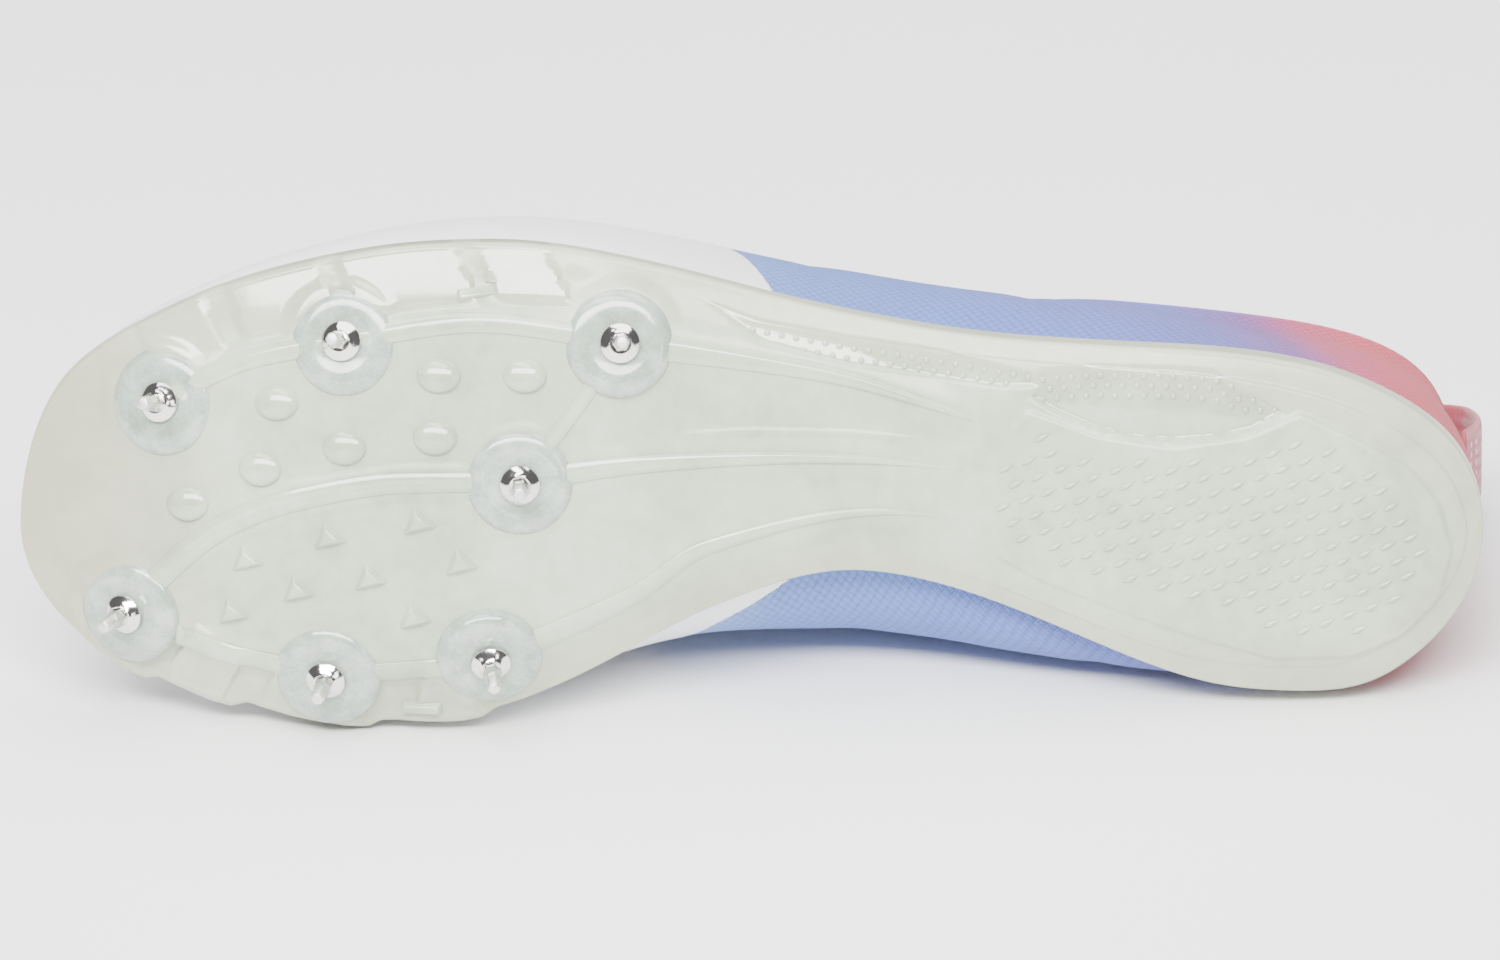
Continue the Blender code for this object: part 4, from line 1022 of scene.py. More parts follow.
def shoe_place(pixel, up_height=0.0):
    """Point of the last, in metres, that a point of the photograph shows at a height above the tread."""
    x = (HEEL_PIXEL - pixel[0]) / PIXELS_PER_MM
    y = ((AXIS_PIXEL - pixel[1]) / PIXELS_PER_MM - up_height * math.sin(VIEW_TILT)) / math.cos(VIEW_TILT)
    return x * MM, y * MM


def on_plate(pixel):
    guess = 0.0
    for _ in range(4):
        x, y = shoe_place(pixel, guess / MM)
        guess = height_under(x, y)
    return x, y


def dome(x, y):
    bm = bmesh.new()
    bmesh.ops.create_uvsphere(bm, u_segments=28, v_segments=16, radius=1.0)
    bmesh.ops.scale(bm, vec=(4.3 * MM, 3.5 * MM, 1.9 * MM), verts=bm.verts)
    lean = Matrix.Rotation(math.radians(13), 4, "X")
    bm.transform(seat(x, y, 2 * MM) @ Matrix.Translation((0, 0, -0.3 * MM)) @ lean)
    return bm


def arrow(x, y):
    bm = bmesh.new()
    bmesh.ops.create_cone(
        bm, cap_ends=True, cap_tris=False, segments=3, radius1=5.2 * MM, radius2=2.2 * MM, depth=2.4 * MM,
    )
    eased(bm, 0.42)
    bmesh.ops.scale(bm, vec=(1.0, 0.82, 1.0), verts=bm.verts)
    bm.transform(seat(x, y, 2 * MM, spin=math.radians(195)) @ Matrix.Translation((0, 0, 0.25 * MM)))
    return bm


def short_bar(x, y, length, width, spin):
    bm = bmesh.new()
    bmesh.ops.create_cube(bm, size=1.0)
    bmesh.ops.scale(bm, vec=(length * MM, width * MM, 2.0 * MM), verts=bm.verts)
    top_corners = [vert for vert in bm.verts if vert.co.z > 0]
    bmesh.ops.scale(bm, vec=(0.86, 0.6, 1), verts=top_corners)
    eased(bm, 0.3)
    bm.transform(seat(x, y, 2 * MM, spin=spin))
    return bm


nub_parts = [dome(*on_plate(pixel)) for pixel in DOMES]
nub_parts += [arrow(*on_plate(pixel)) for pixel in ARROWS]
nub_parts += [short_bar(*on_plate(pixel), *sizes) for pixel, *sizes in SHORT_BARS]
finish_piece("nubs", joined(nub_parts), [plate_plastic], [])

# %% [markdown]
# The heel pad is covered with small slanting ticks and the hollow crescents with rows of pimples, both
# for grip. There are a few hundred of them, so each has only a few faces.

# %% Ticks and pimples
TICK_FIELD = (
    (85.0, 8.6), (73.8, 4.6), (58.8, 3.0), (46.0, 5.2), (35.1, 9.2), (26.0, 5.2), (17.0, -1.0),
    (12.0, -9.0), (11.0, -17.0), (15.0, -25.0), (24.0, -30.5), (38.0, -29.5), (52.0, -24.5),
    (66.0, -20.0), (80.0, -16.4), (90.4, -13.4), (92.6, -5.0), (91.4, 2.0),
)


def tick(x, y):
    bm = bmesh.new()
    bmesh.ops.create_uvsphere(bm, u_segments=8, v_segments=5, radius=1.0)
    bmesh.ops.scale(bm, vec=(1.65 * MM, 0.52 * MM, 0.62 * MM), verts=bm.verts)
    narrow_end = [vert for vert in bm.verts if vert.co.x < -0.3 * MM]
    bmesh.ops.scale(bm, vec=(1.25, 0.45, 0.7), verts=narrow_end)
    bm.transform(seat(x, y, 1 * MM, spin=math.radians(27)))
    return bm


def pimple(x, y, size):
    bm = bmesh.new()
    bmesh.ops.create_uvsphere(bm, u_segments=8, v_segments=6, radius=size * MM)
    bmesh.ops.scale(bm, vec=(1, 1, 0.6), verts=bm.verts)
    bm.transform(Matrix.Translation((x, y, height_under(x, y))))
    return bm


tick_parts = []
for line in range(-16, 17):
    for step in range(-16, 17):
        x = 50 + 4.3 * step + 1.9 * line
        y = -13 - 1.55 * step + 3.0 * line
        if inside_area(x, y, TICK_FIELD) > 0:
            tick_parts.append(tick(x * MM, y * MM))
print(len(tick_parts), "ticks")
finish_piece("heel_ticks", joined(tick_parts), [plate_plastic], [])

pimple_parts = []
for crescent in (WAIST_CRESCENT, HEEL_CRESCENT):
    for step in range(40):
        for row in range(-2, 1):
            x = 40 + step * 2.75 + (row % 2) * 1.37
            if x > 148:
                continue
            top_y = np.interp(x, *HOLLOW_TOP)
            y = top_y - 1.7 - 1.85 * (row + 2)
            if inside_area(x, y, crescent) > 0.35:
                pimple_parts.append(pimple(x * MM, y * MM, 0.68))
print(len(pimple_parts), "pimples")
finish_piece("crescent_pimples", joined(pimple_parts), [plate_plastic], [])

# %% [markdown]
# ## Upper
# The upper is thin mesh pulled over the last and glued under it. It is draped as one outer sheet, from
# the margin under the foot, up the wall, to the collar and the throat. Soft creases, the film's step and
# the padded collar are pushes along the surface. Solidify then gives the cloth its thickness inward and
# a knit inside.


# %% Curve of the wall
HEEL_SHARE, HEEL_OF_INSTEP = 0.18, 0.8
LOW_RISE, LOW_ROOF_RISE, LOW_BELLY = 0.42, 0.18, 1.5
LEVEL_SPAN, LEVEL_BELLY = 0.62, 0.9
STEEP_SPAN, STEEP_BELLY, STEEP_RISE = 0.06, 0.8, 0.38
# belly beside the arch, on the inner side: its middle, its reach to the heel and to the toe, out and down
ARCH_MIDDLE, ARCH_HEELWARD, ARCH_TOEWARD = 0.43, 0.165, 0.15
ARCH_OUT, ARCH_DOWN = 14 * MM, 24 * MM


def arch_belly(side, turn):
    reach = np.where(turn > ARCH_MIDDLE, ARCH_TOEWARD, ARCH_HEELWARD)
    bell = np.exp(-((turn - ARCH_MIDDLE) / reach) ** 2) * (np.asarray(side) < 0)
    return (bell * np.clip((turn - 0.04) / 0.1, 0, 1))[:, None]


def wall_controls(side, turn):
    flat = spoke(side, turn, 1.0, LIP_WALL + GAP)
    foot = stack(flat[:, 0], flat[:, 1], lip_top(side, turn) + GAP)
    offset = top_line(2, turn) + side * top_line(3, turn)
    heel = np.clip(1 - top_line(1, turn) / HEEL_SHARE, 0, None)
    height = INSTEP_HEIGHT * top_line(4, turn) + (HEEL_HEIGHT - HEEL_OF_INSTEP * INSTEP_HEIGHT) * heel
    head = stack(top_line(1, turn) * LENGTH, offset * BALL_WIDTH, height)
    out = unit(np.concatenate((edge_at(side, turn) - spine_at(turn), np.zeros((len(turn), 1))), axis=1))
    belly = (edge_share(side, turn, 3) * BALL_WIDTH)[:, None]
    roof = top_line(5, turn)[:, None]
    rise = (head - foot)[:, 2:3]
    lean = (foot - head) * (1, 1, 0)
    span = np.linalg.norm(lean, axis=1)[:, None]
    upward = np.array((0, 0, 1.0))
    low = foot + upward * (LOW_RISE + LOW_ROOF_RISE * roof) * rise + out * LOW_BELLY * belly
    low = low + arch_belly(side, turn) * (out * ARCH_OUT - upward * ARCH_DOWN)
    level = head + lean * LEVEL_SPAN + out * LEVEL_BELLY * belly
    steep = head + out * (STEEP_SPAN * span + STEEP_BELLY * belly) - upward * STEEP_RISE * rise
    return foot, low, steep + (level - steep) * roof, head


def wall_at(controls, t):
    a, b, c, d = controls
    return a * (1 - t) ** 3 + b * 3 * t * (1 - t) ** 2 + c * 3 * t * t * (1 - t) + d * t ** 3


# %% Sheet of the upper
ROUND = 560
CLIMBS = np.concatenate((np.linspace(0, 0.9, 64), np.linspace(0.915, 1, 7)))
side, turn = round_the_foot(ROUND)
controls = wall_controls(side, turn)
seat_height = PLATE_WALL + GAP
under_rows = [tread_at(side, turn, share, seat_height) for share in (0.8, 0.87)]
corner_share = share_inside(side, turn, LIP_WALL + GAP + 0.8 * MM)
under_rows.append(tread_at(side, turn, corner_share, seat_height))
under_rows.append(tread_at(side, turn, share_inside(side, turn, LIP_WALL + GAP), seat_height + 0.8 * MM))
wall = np.array([wall_at(controls, climb) for climb in CLIMBS])
round_it = np.roll(wall, -1, axis=1) - np.roll(wall, 1, axis=1)
round_it[:, 0] = round_it[:, -1] = wall[:, 1] - wall[:, -2]
up_it = np.gradient(wall, axis=0)
normals = unit(np.cross(round_it, up_it))
normals = normals * np.sign(normals[20, ROUND // 4, 1])
# the ridge over the toe takes one normal for both sides
RIDGE_FROM, CROWD, CROWD_ROWS = 0.69, 15, 16
both = unit(normals[-1] + normals[-1, ::-1])
to_ridge = np.clip((CLIMBS - 0.93) / 0.07, 0, 1)[:, None, None] * (turn >= RIDGE_FROM)[None, :, None]
normals = unit(normals * (1 - to_ridge) + both[None] * to_ridge)
# the columns crowd together where the ridge ends at the toe and take the direction of their neighbours
toe = ROUND // 2
beside = normals[-CROWD_ROWS:, toe - CROWD] + normals[-CROWD_ROWS:, toe + CROWD]
normals[-CROWD_ROWS:, toe - CROWD + 1:toe + CROWD] = unit(beside)[:, None]
wall_mm = wall / MM
climb = np.repeat(CLIMBS[:, None], ROUND + 1, axis=1)
# edge of the white film: climb and X, on the outer side and on the inner side
FILM_OUTER = np.array(((0, 134.0), (0.3, 143.0), (0.65, 160.0), (1.0, 184.0)))
FILM_INNER = np.array(((0, 127.5), (0.14, 147.0), (0.5, 166.0), (1.0, 184.0)))
film_edge = np.where(side > 0, follow(*FILM_OUTER.T, climb), follow(*FILM_INNER.T, climb))
film = wall_mm[..., 0] - film_edge
dye = dye_number(wall_mm[..., 0], wall_mm[..., 2])

# %% Creases and steps pushed into the sheet
FILM_STEP, PAD_SWELL, STAY_STEP = 0.22, 0.9, 0.18
push = FILM_STEP * smooth_step(film, -0.5, 0.5)
# from turn, climb, to turn, climb, depth, width
CREASES = (
    (0.70, 0.55, 0.66, 1.0, -0.55, 3.0),
    (0.655, 0.45, 0.63, 0.8, -0.4, 2.6),
    (0.47, 0.35, 0.53, 0.7, -0.35, 4.0),
    (0.36, 0.30, 0.40, 0.75, -0.45, 4.5),
    (0.22, 0.35, 0.27, 0.7, -0.3, 4.5),
    (0.76, 0.5, 0.745, 0.86, 0.3, 3.4),
)
for turn_a, climb_a, turn_b, climb_b, depth, width in CREASES:
    t = np.clip((climb - climb_a) / (climb_b - climb_a), 0, 1)
    rising = smooth_step(climb, climb_a - 0.2, climb_a + 0.1)
    fade = rising * (1 - smooth_step(climb, climb_b - 0.05, climb_b + 0.12))
    off = np.abs(turn - turn_a - (turn_b - turn_a) * t - 0.004 * side) * 420
    push += depth * fade * np.exp(-(off / width) ** 2)
collar_pad = smooth_step(climb, 0.80, 0.93) * (1 - smooth_step(turn, 0.36, 0.43))[None, :]
push += PAD_SWELL * collar_pad * (1 - 0.55 * smooth_step(climb, 0.97, 1.0))
stay = 1 - smooth_step(np.abs(climb - 0.9), 0.12, 0.125)
stay = stay * smooth_step(turn, 0.435, 0.44)[None, :] * (1 - smooth_step(turn, 0.672, 0.677))[None, :]
push += STAY_STEP * stay
wall = wall + normals * (push * MM)[..., None]
places = np.concatenate((np.array(under_rows), wall), axis=0)
uvs = cloth_map(arc_lengths(places[20:21], 1), places)
upper_readings = {
    name: np.concatenate((np.repeat(values[:1], len(under_rows), axis=0), values), axis=0)
    for name, values in (("film", film), ("dye", dye), ("stay", stay))
}
upper_bm = draped(places, uvs, upper_readings, outward=(places[30, ROUND // 4], (0, 1, 0)))

# %% [markdown]
# Eyelets are punched through the cloth. The sheet's faces inside each hole are deleted and the edge of
# the hole is rounded up with a ring, which is quicker and cleaner than a Boolean on a fine mesh.

# %% Punch the eyelets
EYELET_TURNS = (0.655, 0.615, 0.575, 0.535, 0.495, 0.460)
EYELET_CLIMB = 0.86
HOLE_RADIUS, RIM_LIFT, NEARBY = 2.2 * MM, 0.18 * MM, 4 * MM


def on_wall(way, at_turn, at_climb):
    """Point of the plain wall and its outward direction."""
    def read(a_turn, a_climb):
        return wall_at(wall_controls(np.array([float(way)]), np.array([a_turn])), a_climb)[0]
    here = read(at_turn, at_climb)
    run = read(min(at_turn + 0.004, 0.999), at_climb) - read(max(at_turn - 0.004, 0.001), at_climb)
    rise = read(at_turn, min(at_climb + 0.004, 1.0)) - read(at_turn, max(at_climb - 0.004, 0.0))
    out = np.cross(run, rise) * way
    if out[2] < 0 and at_climb > 0.6:
        out = -out
    return Vector(here), Vector(out).normalized()


eyelets = [(way, k, *on_wall(way, t, EYELET_CLIMB)) for k, t in enumerate(EYELET_TURNS) for way in (1, -1)]
for _, _, centre, out in eyelets:
    near = [f for f in upper_bm.faces if (f.calc_center_median() - centre).length < HOLE_RADIUS - 0.05 * MM]
    bmesh.ops.delete(upper_bm, geom=near, context="FACES")
    rim_edges = [e for e in upper_bm.edges if e.is_boundary and (e.verts[0].co - centre).length < NEARBY]
    for vert in {v for e in rim_edges for v in e.verts}:
        off = vert.co - centre
        off -= out * off.dot(out)
        vert.co = centre + off.normalized() * HOLE_RADIUS + out * RIM_LIFT
print("holes punched:", len(eyelets))
upper_finishes = [upper_mesh, lining_knit]
upper = finish_piece("upper_shell", upper_bm, upper_finishes, ["upper"], math.radians(60))
cloth = upper.modifiers.new("cloth", "SOLIDIFY")
cloth.thickness = UPPER_WALL
cloth.offset = -1
cloth.use_even_offset = False
cloth.material_offset = 1
cloth.material_offset_rim = 1

# %% [markdown]
# Each eyelet has a thin ring fused round it, so the lace doesn't tear the mesh. It is turned like the
# bosses.

# %% Eyelet rings
RING_PROFILE = (
    (2.15, -1.75), (2.15, 0.3), (2.35, 0.52), (2.9, 0.56), (3.5, 0.42), (3.7, 0.12), (3.7, -0.1),
    (2.6, -0.2), (2.6, -1.75), (2.15, -1.75),
)


def eyelet_frame(centre, out):
    return Matrix.Translation(centre) @ out.to_track_quat("Z", "Y").to_matrix().to_4x4()


rings = [turned_piece(RING_PROFILE, 36, eyelet_frame(centre, out)) for _, _, centre, out in eyelets]
film_finish, film_tree, film_shader = start_finish("film_finish", Roughness=0.38)
film_grain = noise(film_tree, spot(film_tree), 400.0, 2.0)
film_colour = ramp(film_tree, film_grain, (0.3, (0.36, 0.45, 0.72)), (0.7, (0.42, 0.50, 0.76)))
film_tree.links.new(film_colour, film_shader.inputs["Base Color"])
bump_into(film_tree, film_shader, film_grain, 0.15, 0.0002)
finish_piece("eyelet_rings", joined(rings), [film_finish], [])

# %% [markdown]
# ## Collar
# The raw edge of the mesh is bound with a narrow knitted tape all round the collar and the throat.
# Inside the heel a foam pad under the knit holds the ankle. The binding is a rounded section swept along
# the sheet's own edge.

# %% Binding along the collar and the throat
def pressed(point):
    """The same point, lifted to the floor where the lying shoe presses its soft binding flat."""
    below = 0.05 * MM - (LAID @ point).z
    return point + LAID.to_3x3().inverted() @ Vector((0, 0, below)) if below > 0 else point


last_ridge = int(round(0.688 * ROUND / 2))
order = list(range(last_ridge, -1, -1)) + list(range(ROUND - 1, ROUND - last_ridge - 1, -1))
binding = []
for place in order:
    head, out = Vector(wall[-1, place]), Vector(normals[-1, place])
    rise = (Vector(wall[-1, place]) - Vector(wall[-4, place])).normalized()
    pad = float(1 - smooth_step(turn[place], 0.34, 0.44))
    tight = float(smooth_step(turn[place], 0.655, 0.688))
    half_thick = (1.15 + 0.55 * pad - 0.35 * tight) * MM
    half_high = (1.3 + 0.7 * pad - 0.5 * tight) * MM
    middle = head - out * (0.8 + 0.35 * pad) * MM - rise * (0.55 * half_high)
    angles = [math.tau * k / 16 for k in range(16)]
    round_it = [(out * math.cos(a) * half_thick, rise * math.sin(a) * half_high) for a in angles]
    binding.append([pressed(middle + aside + high) for aside, high in round_it])
finish_piece("collar_binding", swept(binding), [dyed_mesh("collar_knit", False)], [], 0)


# %% Pad inside the collar
def inside_sheet(name, columns, climbs, depth_at, finishes, thickness):
    """Sheet that lies inside the wall at a depth, thick enough to look like the real layer."""
    rows = []
    for a_climb in climbs:
        row = int(np.argmin(np.abs(CLIMBS - a_climb)))
        depth = depth_at(turn[columns], a_climb)[:, None] * MM
        rows.append(wall_at([c[columns] for c in controls], a_climb) - normals[row, columns] * depth)
    places = np.array(rows)
    bm = draped(places, cloth_map(arc_lengths(places[:1], 1), places))
    piece = finish_piece(name, bm, finishes, [], 0)
    layer = piece.modifiers.new("layer", "SOLIDIFY")
    layer.thickness = thickness
    layer.offset = 0
    return piece


pad_end = int(0.42 * ROUND / 2)
pad_columns = np.array(list(range(ROUND - pad_end, ROUND)) + list(range(0, pad_end + 1)))


def pad_depth(at_turn, at_climb):
    round_off = np.clip(np.sin(math.pi * np.clip((1.0 - at_climb) / 0.46, 0, 1)), 0, 1) ** 0.6
    ends = 1 - smooth_step(at_turn, 0.30, 0.42)
    return UPPER_WALL / MM + 0.5 + 2.6 * round_off * (0.35 + 0.65 * ends)


pad_climbs = np.linspace(0.54, 0.995, 26)
collar_pad_piece = inside_sheet("collar_pad", pad_columns, pad_climbs, pad_depth, [lining_knit], 0.7 * MM)

# %% [markdown]
# ## Insole
# The sock liner is thin foam under a knit. It lies on the margin of the upper, and its edge turns up a
# little along the wall. It is one closed sheet: top, rounded edge and bottom.

# %% Insole
side_i, turn_i = round_the_foot(240)
insole_low = PLATE_WALL + GAP + UPPER_WALL + 1.5 * GAP
insole_inset = LIP_WALL + GAP + UPPER_WALL + 3 * GAP
edge_share_i = share_inside(side_i, turn_i, insole_inset)
rows = []
for part in np.concatenate((np.linspace(0, 0.9, 16), np.linspace(0.93, 0.985, 4))):
    cup = 1.3 * MM * smooth_step(part, 0.72, 1.0)
    rows.append(tread_at(side_i, turn_i, part * edge_share_i, insole_low + 3.0 * MM + cup))
for bend in np.linspace(0, math.pi, 7):
    tuck = spoke(side_i, turn_i, edge_share_i, 0.9 * MM * (1 - math.sin(bend)))
    level = tread_height(tuck[:, 0], edge_share_i) + insole_low + 2.0 * MM + 2.0 * MM * math.cos(bend)
    rows.append(stack(tuck[:, 0], tuck[:, 1], level))
for part in np.linspace(0.93, 0, 12):
    rows.append(tread_at(side_i, turn_i, part * edge_share_i, insole_low))
rows = np.array(rows)
insole_bm = draped(rows, rows[..., :2] / UV_UNIT)
insole = finish_piece("insole_foam", insole_bm, [insole_cloth], ["insole"])


# %% [markdown]
# ## Tongue
# The tongue is sewn under the vamp and comes out through the throat. It is a thin pad: crowned in the
# middle and pressed flat at its edges, where a tape binds it. Sections are drawn from the outer side to
# the inner side under the wall, and the free end stands up toward the leg.

# %% Sections of the tongue
TONGUE_DEPTH = 2.95 * MM
TONGUE_TURNS = np.linspace(0.722, 0.472, 34)
# free end of the tongue: share of its length, share of its width
TIP_STEPS = (
    (0.1, 0.97), (0.25, 0.92), (0.4, 0.88), (0.55, 0.86), (0.7, 0.83), (0.82, 0.76), (0.9, 0.67),
    (0.96, 0.55), (1.0, 0.38),
)
TIP_RISE, TIP_LEAN, TIP_CURL = 23 * MM, math.radians(38), -0.6
SIDEWAYS = Vector((0, 1, 0))


def tongue_line(at_turn):
    """Points across the tongue's face and the way out of it."""
    lowest = float(np.interp(at_turn, (0.472, 0.5, 0.528, 0.556, 0.722), (0.95, 0.87, 0.81, 0.77, 0.75)))
    crown = float(np.interp(at_turn, (0.61, 0.722), (0.07, 0.0)))
    halves = []
    for way in (1, -1):
        points = [on_wall(way, at_turn, c) for c in np.linspace(lowest, 0.995, 9)]
        halves.append([(p - out * TONGUE_DEPTH, out) for p, out in points])
    left, right = halves[0], halves[1][::-1]
    (a, out_a), (b, out_b) = left[-1], right[0]
    lift = crown * (b - a).length
    middle = []
    for share in np.linspace(0, 1, 14)[1:-1]:
        out = out_a.lerp(out_b, share).normalized()
        middle.append((a.lerp(b, share) + Vector((0, 0, lift * (1 - (2 * share - 1) ** 2))), out))
    return left + middle + right


def tongue_ring(line, thickness):
    count = len(line)
    face, back = [], []
    for k, (point, out) in enumerate(line):
        share = k / (count - 1)
        swell = (1 - (2 * share - 1) ** 4) ** 0.5
        quilt = 0.25 * MM * math.cos(share * math.tau * 3) * swell
        face.append(point + out * quilt)
        back.append(point - out * (0.5 * MM + (thickness - 0.5 * MM) * swell))
    return face + back[::-1]


lines = [tongue_line(t) for t in TONGUE_TURNS]
away = Vector((-math.cos(TIP_LEAN), 0, math.sin(TIP_LEAN)))
last = lines[-1]
centre = last[len(last) // 2][0]
for step, width in TIP_STEPS:
    narrower, curl = Vector((0, 1 - width, 0)), away.cross(SIDEWAYS) * TIP_CURL * step
    rise = away * step * TIP_RISE
    lines.append([(p + (centre - p) * narrower + rise, (out + curl).normalized()) for p, out in last])
tongue_bm = swept([tongue_ring(line, 2.5 * MM) for line in lines])
tongue = finish_piece("tongue_pad", tongue_bm, [tongue_mesh], ["tongue"], 0)

# %% [markdown]
# A knitted tape is folded over the tongue's free edge. It follows the ends of the last sections round
# the tip.

# %% Binding of the tongue
def tube_along(points, half_wide, half_thick, outs):
    sections = []
    for k, point in enumerate(points):
        run = (points[min(k + 1, len(points) - 1)] - points[max(k - 1, 0)]).normalized()
        out = (outs[k] - run * run.dot(outs[k])).normalized()
        sections.append(soft_ring(point, run.cross(out), out, half_wide, half_thick, 12, (0.6, 0.6)))
    return sections


def refined(points, count, rounds=2):
    """Points along a smooth line through the given ones, its corners eased."""
    path = smooth_route([tuple(p) for p in points], count)
    for _ in range(rounds):
        path[1:-1] = (path[:-2] + 2 * path[1:-1] + path[2:]) / 4
    return [Vector(p) for p in path]


free = lines[-13:]
rim = [line[0] for line in free] + free[-1][4:-4:4] + [line[-1] for line in reversed(free)]
rim_path = refined([point - out * 0.5 * MM for point, out in rim], 120, 6)
rim_out = refined([out for _, out in rim], 120, 2)
rim_tube = tube_along(rim_path, 1.5 * MM, 0.95 * MM, rim_out)
finish_piece("tongue_binding", swept(rim_tube), [binding_tape], [], 0)


# %% [markdown]
# ## Lace
# One flat lace runs through all the eyelets. A bar crosses outside at the vamp. Its ends go down through
# the first pair and come up through the next, and from there each crossing passes over one edge, over
# the tongue and under the other edge. It narrows and bunches in a hole. The ends go into the top eyelets
# and stop inside.

# %% Route of the lace
def throat_point(at_turn, at_across, lift):
    """Point and outward way over the throat. Across is 1 at the outer eyelet and -1 at the inner one."""
    def edge_point(way, amount):
        climb_here = 1 - (1 - EYELET_CLIMB) * (amount - 0.6) / 0.4
        return on_wall(way, at_turn, climb_here)
    if abs(at_across) >= 0.6:
        point, out = edge_point(1 if at_across > 0 else -1, abs(at_across))
        return point + out * lift * MM, out
    left, out_left = edge_point(1, 0.6)
    right, out_right = edge_point(-1, 0.6)
    share = (0.6 - at_across) / 1.2
    bow = 0.07 * (right - left).length * (1 - (2 * share - 1) ** 2)
    out = out_left.lerp(out_right, share).normalized()
    return left.lerp(right, share) + Vector((0, 0, bow)) + out * lift * MM, out


OVER = ((1.0, -0.9), (1.0, 0.5), (0.93, 1.05), (0.8, 1.0), (0.6, 0.95), (0.35, 0.35), (0.1, -0.2))
UNDER = (
    (-0.1, -0.9), (-0.35, -1.7), (-0.55, -2.25), (-0.75, -2.35), (-0.92, -2.3), (-1.0, -1.7), (-1.0, -0.9),
)
BENEATH = ((1.0, -1.6), (0.92, -2.3), (0.7, -2.35), (0.5, -2.1), (0.2, -1.3), (0.0, -1.1))


def crossing(start, end, way, mode, high):
    """Stretch of lace from the eyelet at one turn to the opposite one at another."""
    if mode == "over":
        stops = OVER + UNDER
    elif mode == "beneath":
        stops = BENEATH + UNDER[1:]
    else:
        stops = OVER + tuple((-a, l) for a, l in reversed(OVER[:-1])) + ((-1.0, -2.6),)
    placed = []
    for at_across, lift in stops:
        share = (1 - at_across) / 2
        middle = high * max(0.0, 1 - abs(at_across) / 0.45)
        placed.append(throat_point(start + (end - start) * share, way * at_across, lift + middle))
    return placed


def strand(way):
    """Half of the lace, from its first eyelet to the top one on the other side or its own."""
    stops = crossing(EYELET_TURNS[0], EYELET_TURNS[1], way, "beneath", 0.55 * way)
    hand = -way
    for k in range(1, 5):
        mode = "over" if k < 4 else "end"
        stops += crossing(EYELET_TURNS[k], EYELET_TURNS[k + 1], hand, mode, 0.55 * hand * (-1) ** k)
        hand = -hand
    return stops


bar = crossing(EYELET_TURNS[0], EYELET_TURNS[0], 1, "bar", 0.9)[:-1]
lace_stops = [(p, o) for p, o in reversed(strand(1))] + bar + strand(-1)
spots = [lace_stops[0]]
for stop in lace_stops[1:]:
    if (stop[0] - spots[-1][0]).length > 0.5 * MM:
        spots.append(stop)
lace_path = refined([p for p, _ in spots], 900, 5)
lace_length = sum((b - a).length for a, b in zip(lace_path, lace_path[1:]))
print("lace of", round(lace_length / MM), "mm in", len(spots), "stops")

# %% Flat lace along the route
throat_ends = [on_wall(1, t, 1.0)[0] + on_wall(-1, t, 1.0)[0] for t in (EYELET_TURNS[-1], EYELET_TURNS[0])]
throat_way = (throat_ends[0] - throat_ends[1]).normalized()
holes = [centre for _, _, centre, _ in eyelets]
lace_sections = []
for k, point in enumerate(lace_path):
    run = (lace_path[min(k + 2, len(lace_path) - 1)] - lace_path[max(k - 2, 0)]).normalized()
    aside = (throat_way - run * run.dot(throat_way)).normalized()
    lift_way = run.cross(aside)
    near = min((point - hole).length for hole in holes) / MM
    open_out = float(smooth_step(near, 1.6, 6.5))
    half_wide, half_thick = (1.75 + 0.9 * open_out) * MM, (0.72 - 0.24 * open_out) * MM
    lace_sections.append(soft_ring(point, aside, lift_way, half_wide, half_thick, 14, (0.45, 0.8)))
finish_piece("flat_lace", swept(lace_sections), [lace_weave], ["lace"], 0)

# %% [markdown]
# ## Pull loop
# Behind the heel a tape stands as an open loop, sewn outside the heel seam and inside the collar. It is
# one flat tape bent along a route in the shoe's middle plane, with its edges rounded.

# %% Pull loop
LOOP_WIDTH, LOOP_TAPE, LOOP_STEPS = 16 * MM, 1.4 * MM, 110
LOOP_RISE, LOOP_DROP, LOOP_DEPTH = 11 * MM, 15 * MM, 7 * MM
heel_column = [c[:1] for c in controls]
heel_top = wall_at(heel_column, 1.0)[0]
heel_low = wall_at(heel_column, 1 - LOOP_DROP / heel_top[2])[0]
tape = LOOP_TAPE / 2
outside, inside = heel_low[0] - GAP - tape, heel_top[0] + UPPER_WALL + 5 * GAP + tape
back, peak = heel_top[0] - LOOP_DEPTH + tape, heel_top[2] + LOOP_RISE - tape
loop_stops = (
    (outside - 0.2 * MM, heel_low[2]), (0.5 * (outside + back) - 0.6 * MM, heel_low[2] + 0.35 * LOOP_DROP),
    (back, heel_top[2] - 0.1 * LOOP_DROP), (back + 0.3 * LOOP_DEPTH, heel_top[2] + 0.72 * LOOP_RISE),
    (heel_top[0], peak), (inside - 0.1 * LOOP_DEPTH, heel_top[2] + 0.6 * LOOP_RISE),
    (inside, heel_top[2]), (inside + 0.2 * MM, heel_top[2] - 0.6 * LOOP_DROP),
)
loop_path = refined([(x, heel_top[1], z) for x, z in loop_stops], LOOP_STEPS, 8)
loop_sections = []
for k, point in enumerate(loop_path):
    run = (loop_path[min(k + 1, LOOP_STEPS - 1)] - loop_path[max(k - 1, 0)]).normalized()
    up_way = run.cross(SIDEWAYS)
    loop_sections.append(soft_ring(point, SIDEWAYS, up_way, LOOP_WIDTH / 2, tape, 28, (0.25, 0.7)))
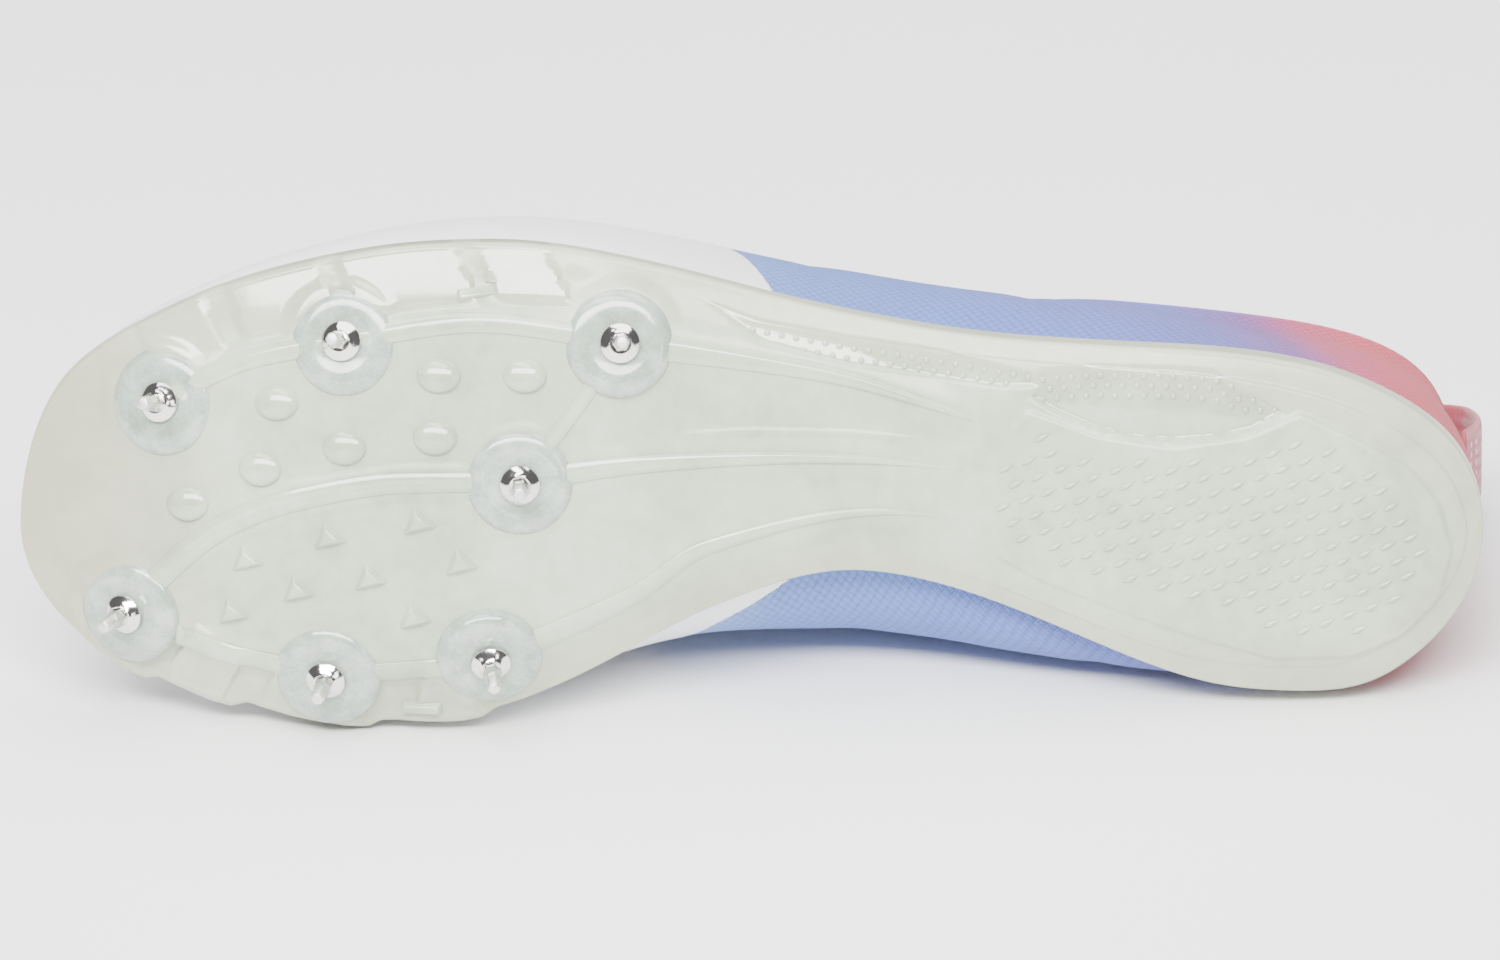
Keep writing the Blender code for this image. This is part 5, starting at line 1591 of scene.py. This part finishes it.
finish_piece("heel_loop", swept(loop_sections), [loop_weave], ["pull_loop"], 0)


# %% [markdown]
# ## Stitches
# Thread shows where tapes are sewn: along the tongue's binding and across the foot of the loop. Every
# stitch is a short bead sunk in the cloth. They are many, so each has few faces.

# %% Stitches
def stitch_line(points, outs, length, pitch):
    parts = []
    reach = 0.0
    for here, after, out in zip(points, points[1:], outs):
        reach += (after - here).length
        if reach >= pitch:
            reach = 0.0
            run = (after - here).normalized()
            way_out = (out - run * run.dot(out)).normalized()
            axes = Matrix((run, way_out.cross(run), way_out)).transposed().to_4x4()
            bm = bmesh.new()
            lying = Matrix.Rotation(math.pi / 2, 4, "Y")
            bmesh.ops.create_uvsphere(bm, u_segments=6, v_segments=5, radius=1.0, matrix=lying)
            bmesh.ops.scale(bm, vec=(length / 2, 0.24 * MM, 0.2 * MM), verts=bm.verts)
            bm.transform(Matrix.Translation(here) @ axes)
            parts.append(bm)
    return parts


rim_out = [out.normalized() for out in rim_out]
on_rim = [point + out * 0.98 * MM for point, out in zip(rim_path, rim_out)]
stitches = stitch_line(on_rim, rim_out, 1.5 * MM, 2.0 * MM)
for height_up in (1.6 * MM, 4.2 * MM):
    k = next(i for i, p in enumerate(loop_path) if p.z > heel_low[2] + height_up)
    base, run = loop_path[k], (loop_path[k + 1] - loop_path[k]).normalized()
    out = run.cross(SIDEWAYS)
    out = out if out.x < 0 else -out
    line = [base + Vector((0, y * MM, 0)) + out * 0.78 * MM for y in np.arange(-6.6, 6.7, 0.5)]
    stitches += stitch_line(line, [out] * len(line), 1.3 * MM, 1.7 * MM)
print(len(stitches), "stitches")
finish_piece("stitches", joined(stitches), [thread_finish], [])

# %% [markdown]
# ## Last lines
# The floor is a large pale plane.

# %% Floor
floor_bm = bmesh.new()
bmesh.ops.create_grid(floor_bm, x_segments=2, y_segments=2, size=6.0)
floor_mesh = bpy.data.meshes.new("floor")
floor_bm.to_mesh(floor_mesh)
floor_bm.free()
floor = bpy.data.objects.new("floor", floor_mesh)
bpy.context.scene.collection.objects.link(floor)
floor_finish, floor_tree, floor_shader = start_finish("floor_finish", Roughness=0.6)
paper = noise(floor_tree, spot(floor_tree), 3.0, 2.0)
floor_colour = ramp(floor_tree, paper, (0.3, (0.86, 0.86, 0.86)), (0.7, (0.89, 0.89, 0.89)))
floor_tree.links.new(floor_colour, floor_shader.inputs["Base Color"])
floor_mesh.materials.append(floor_finish)
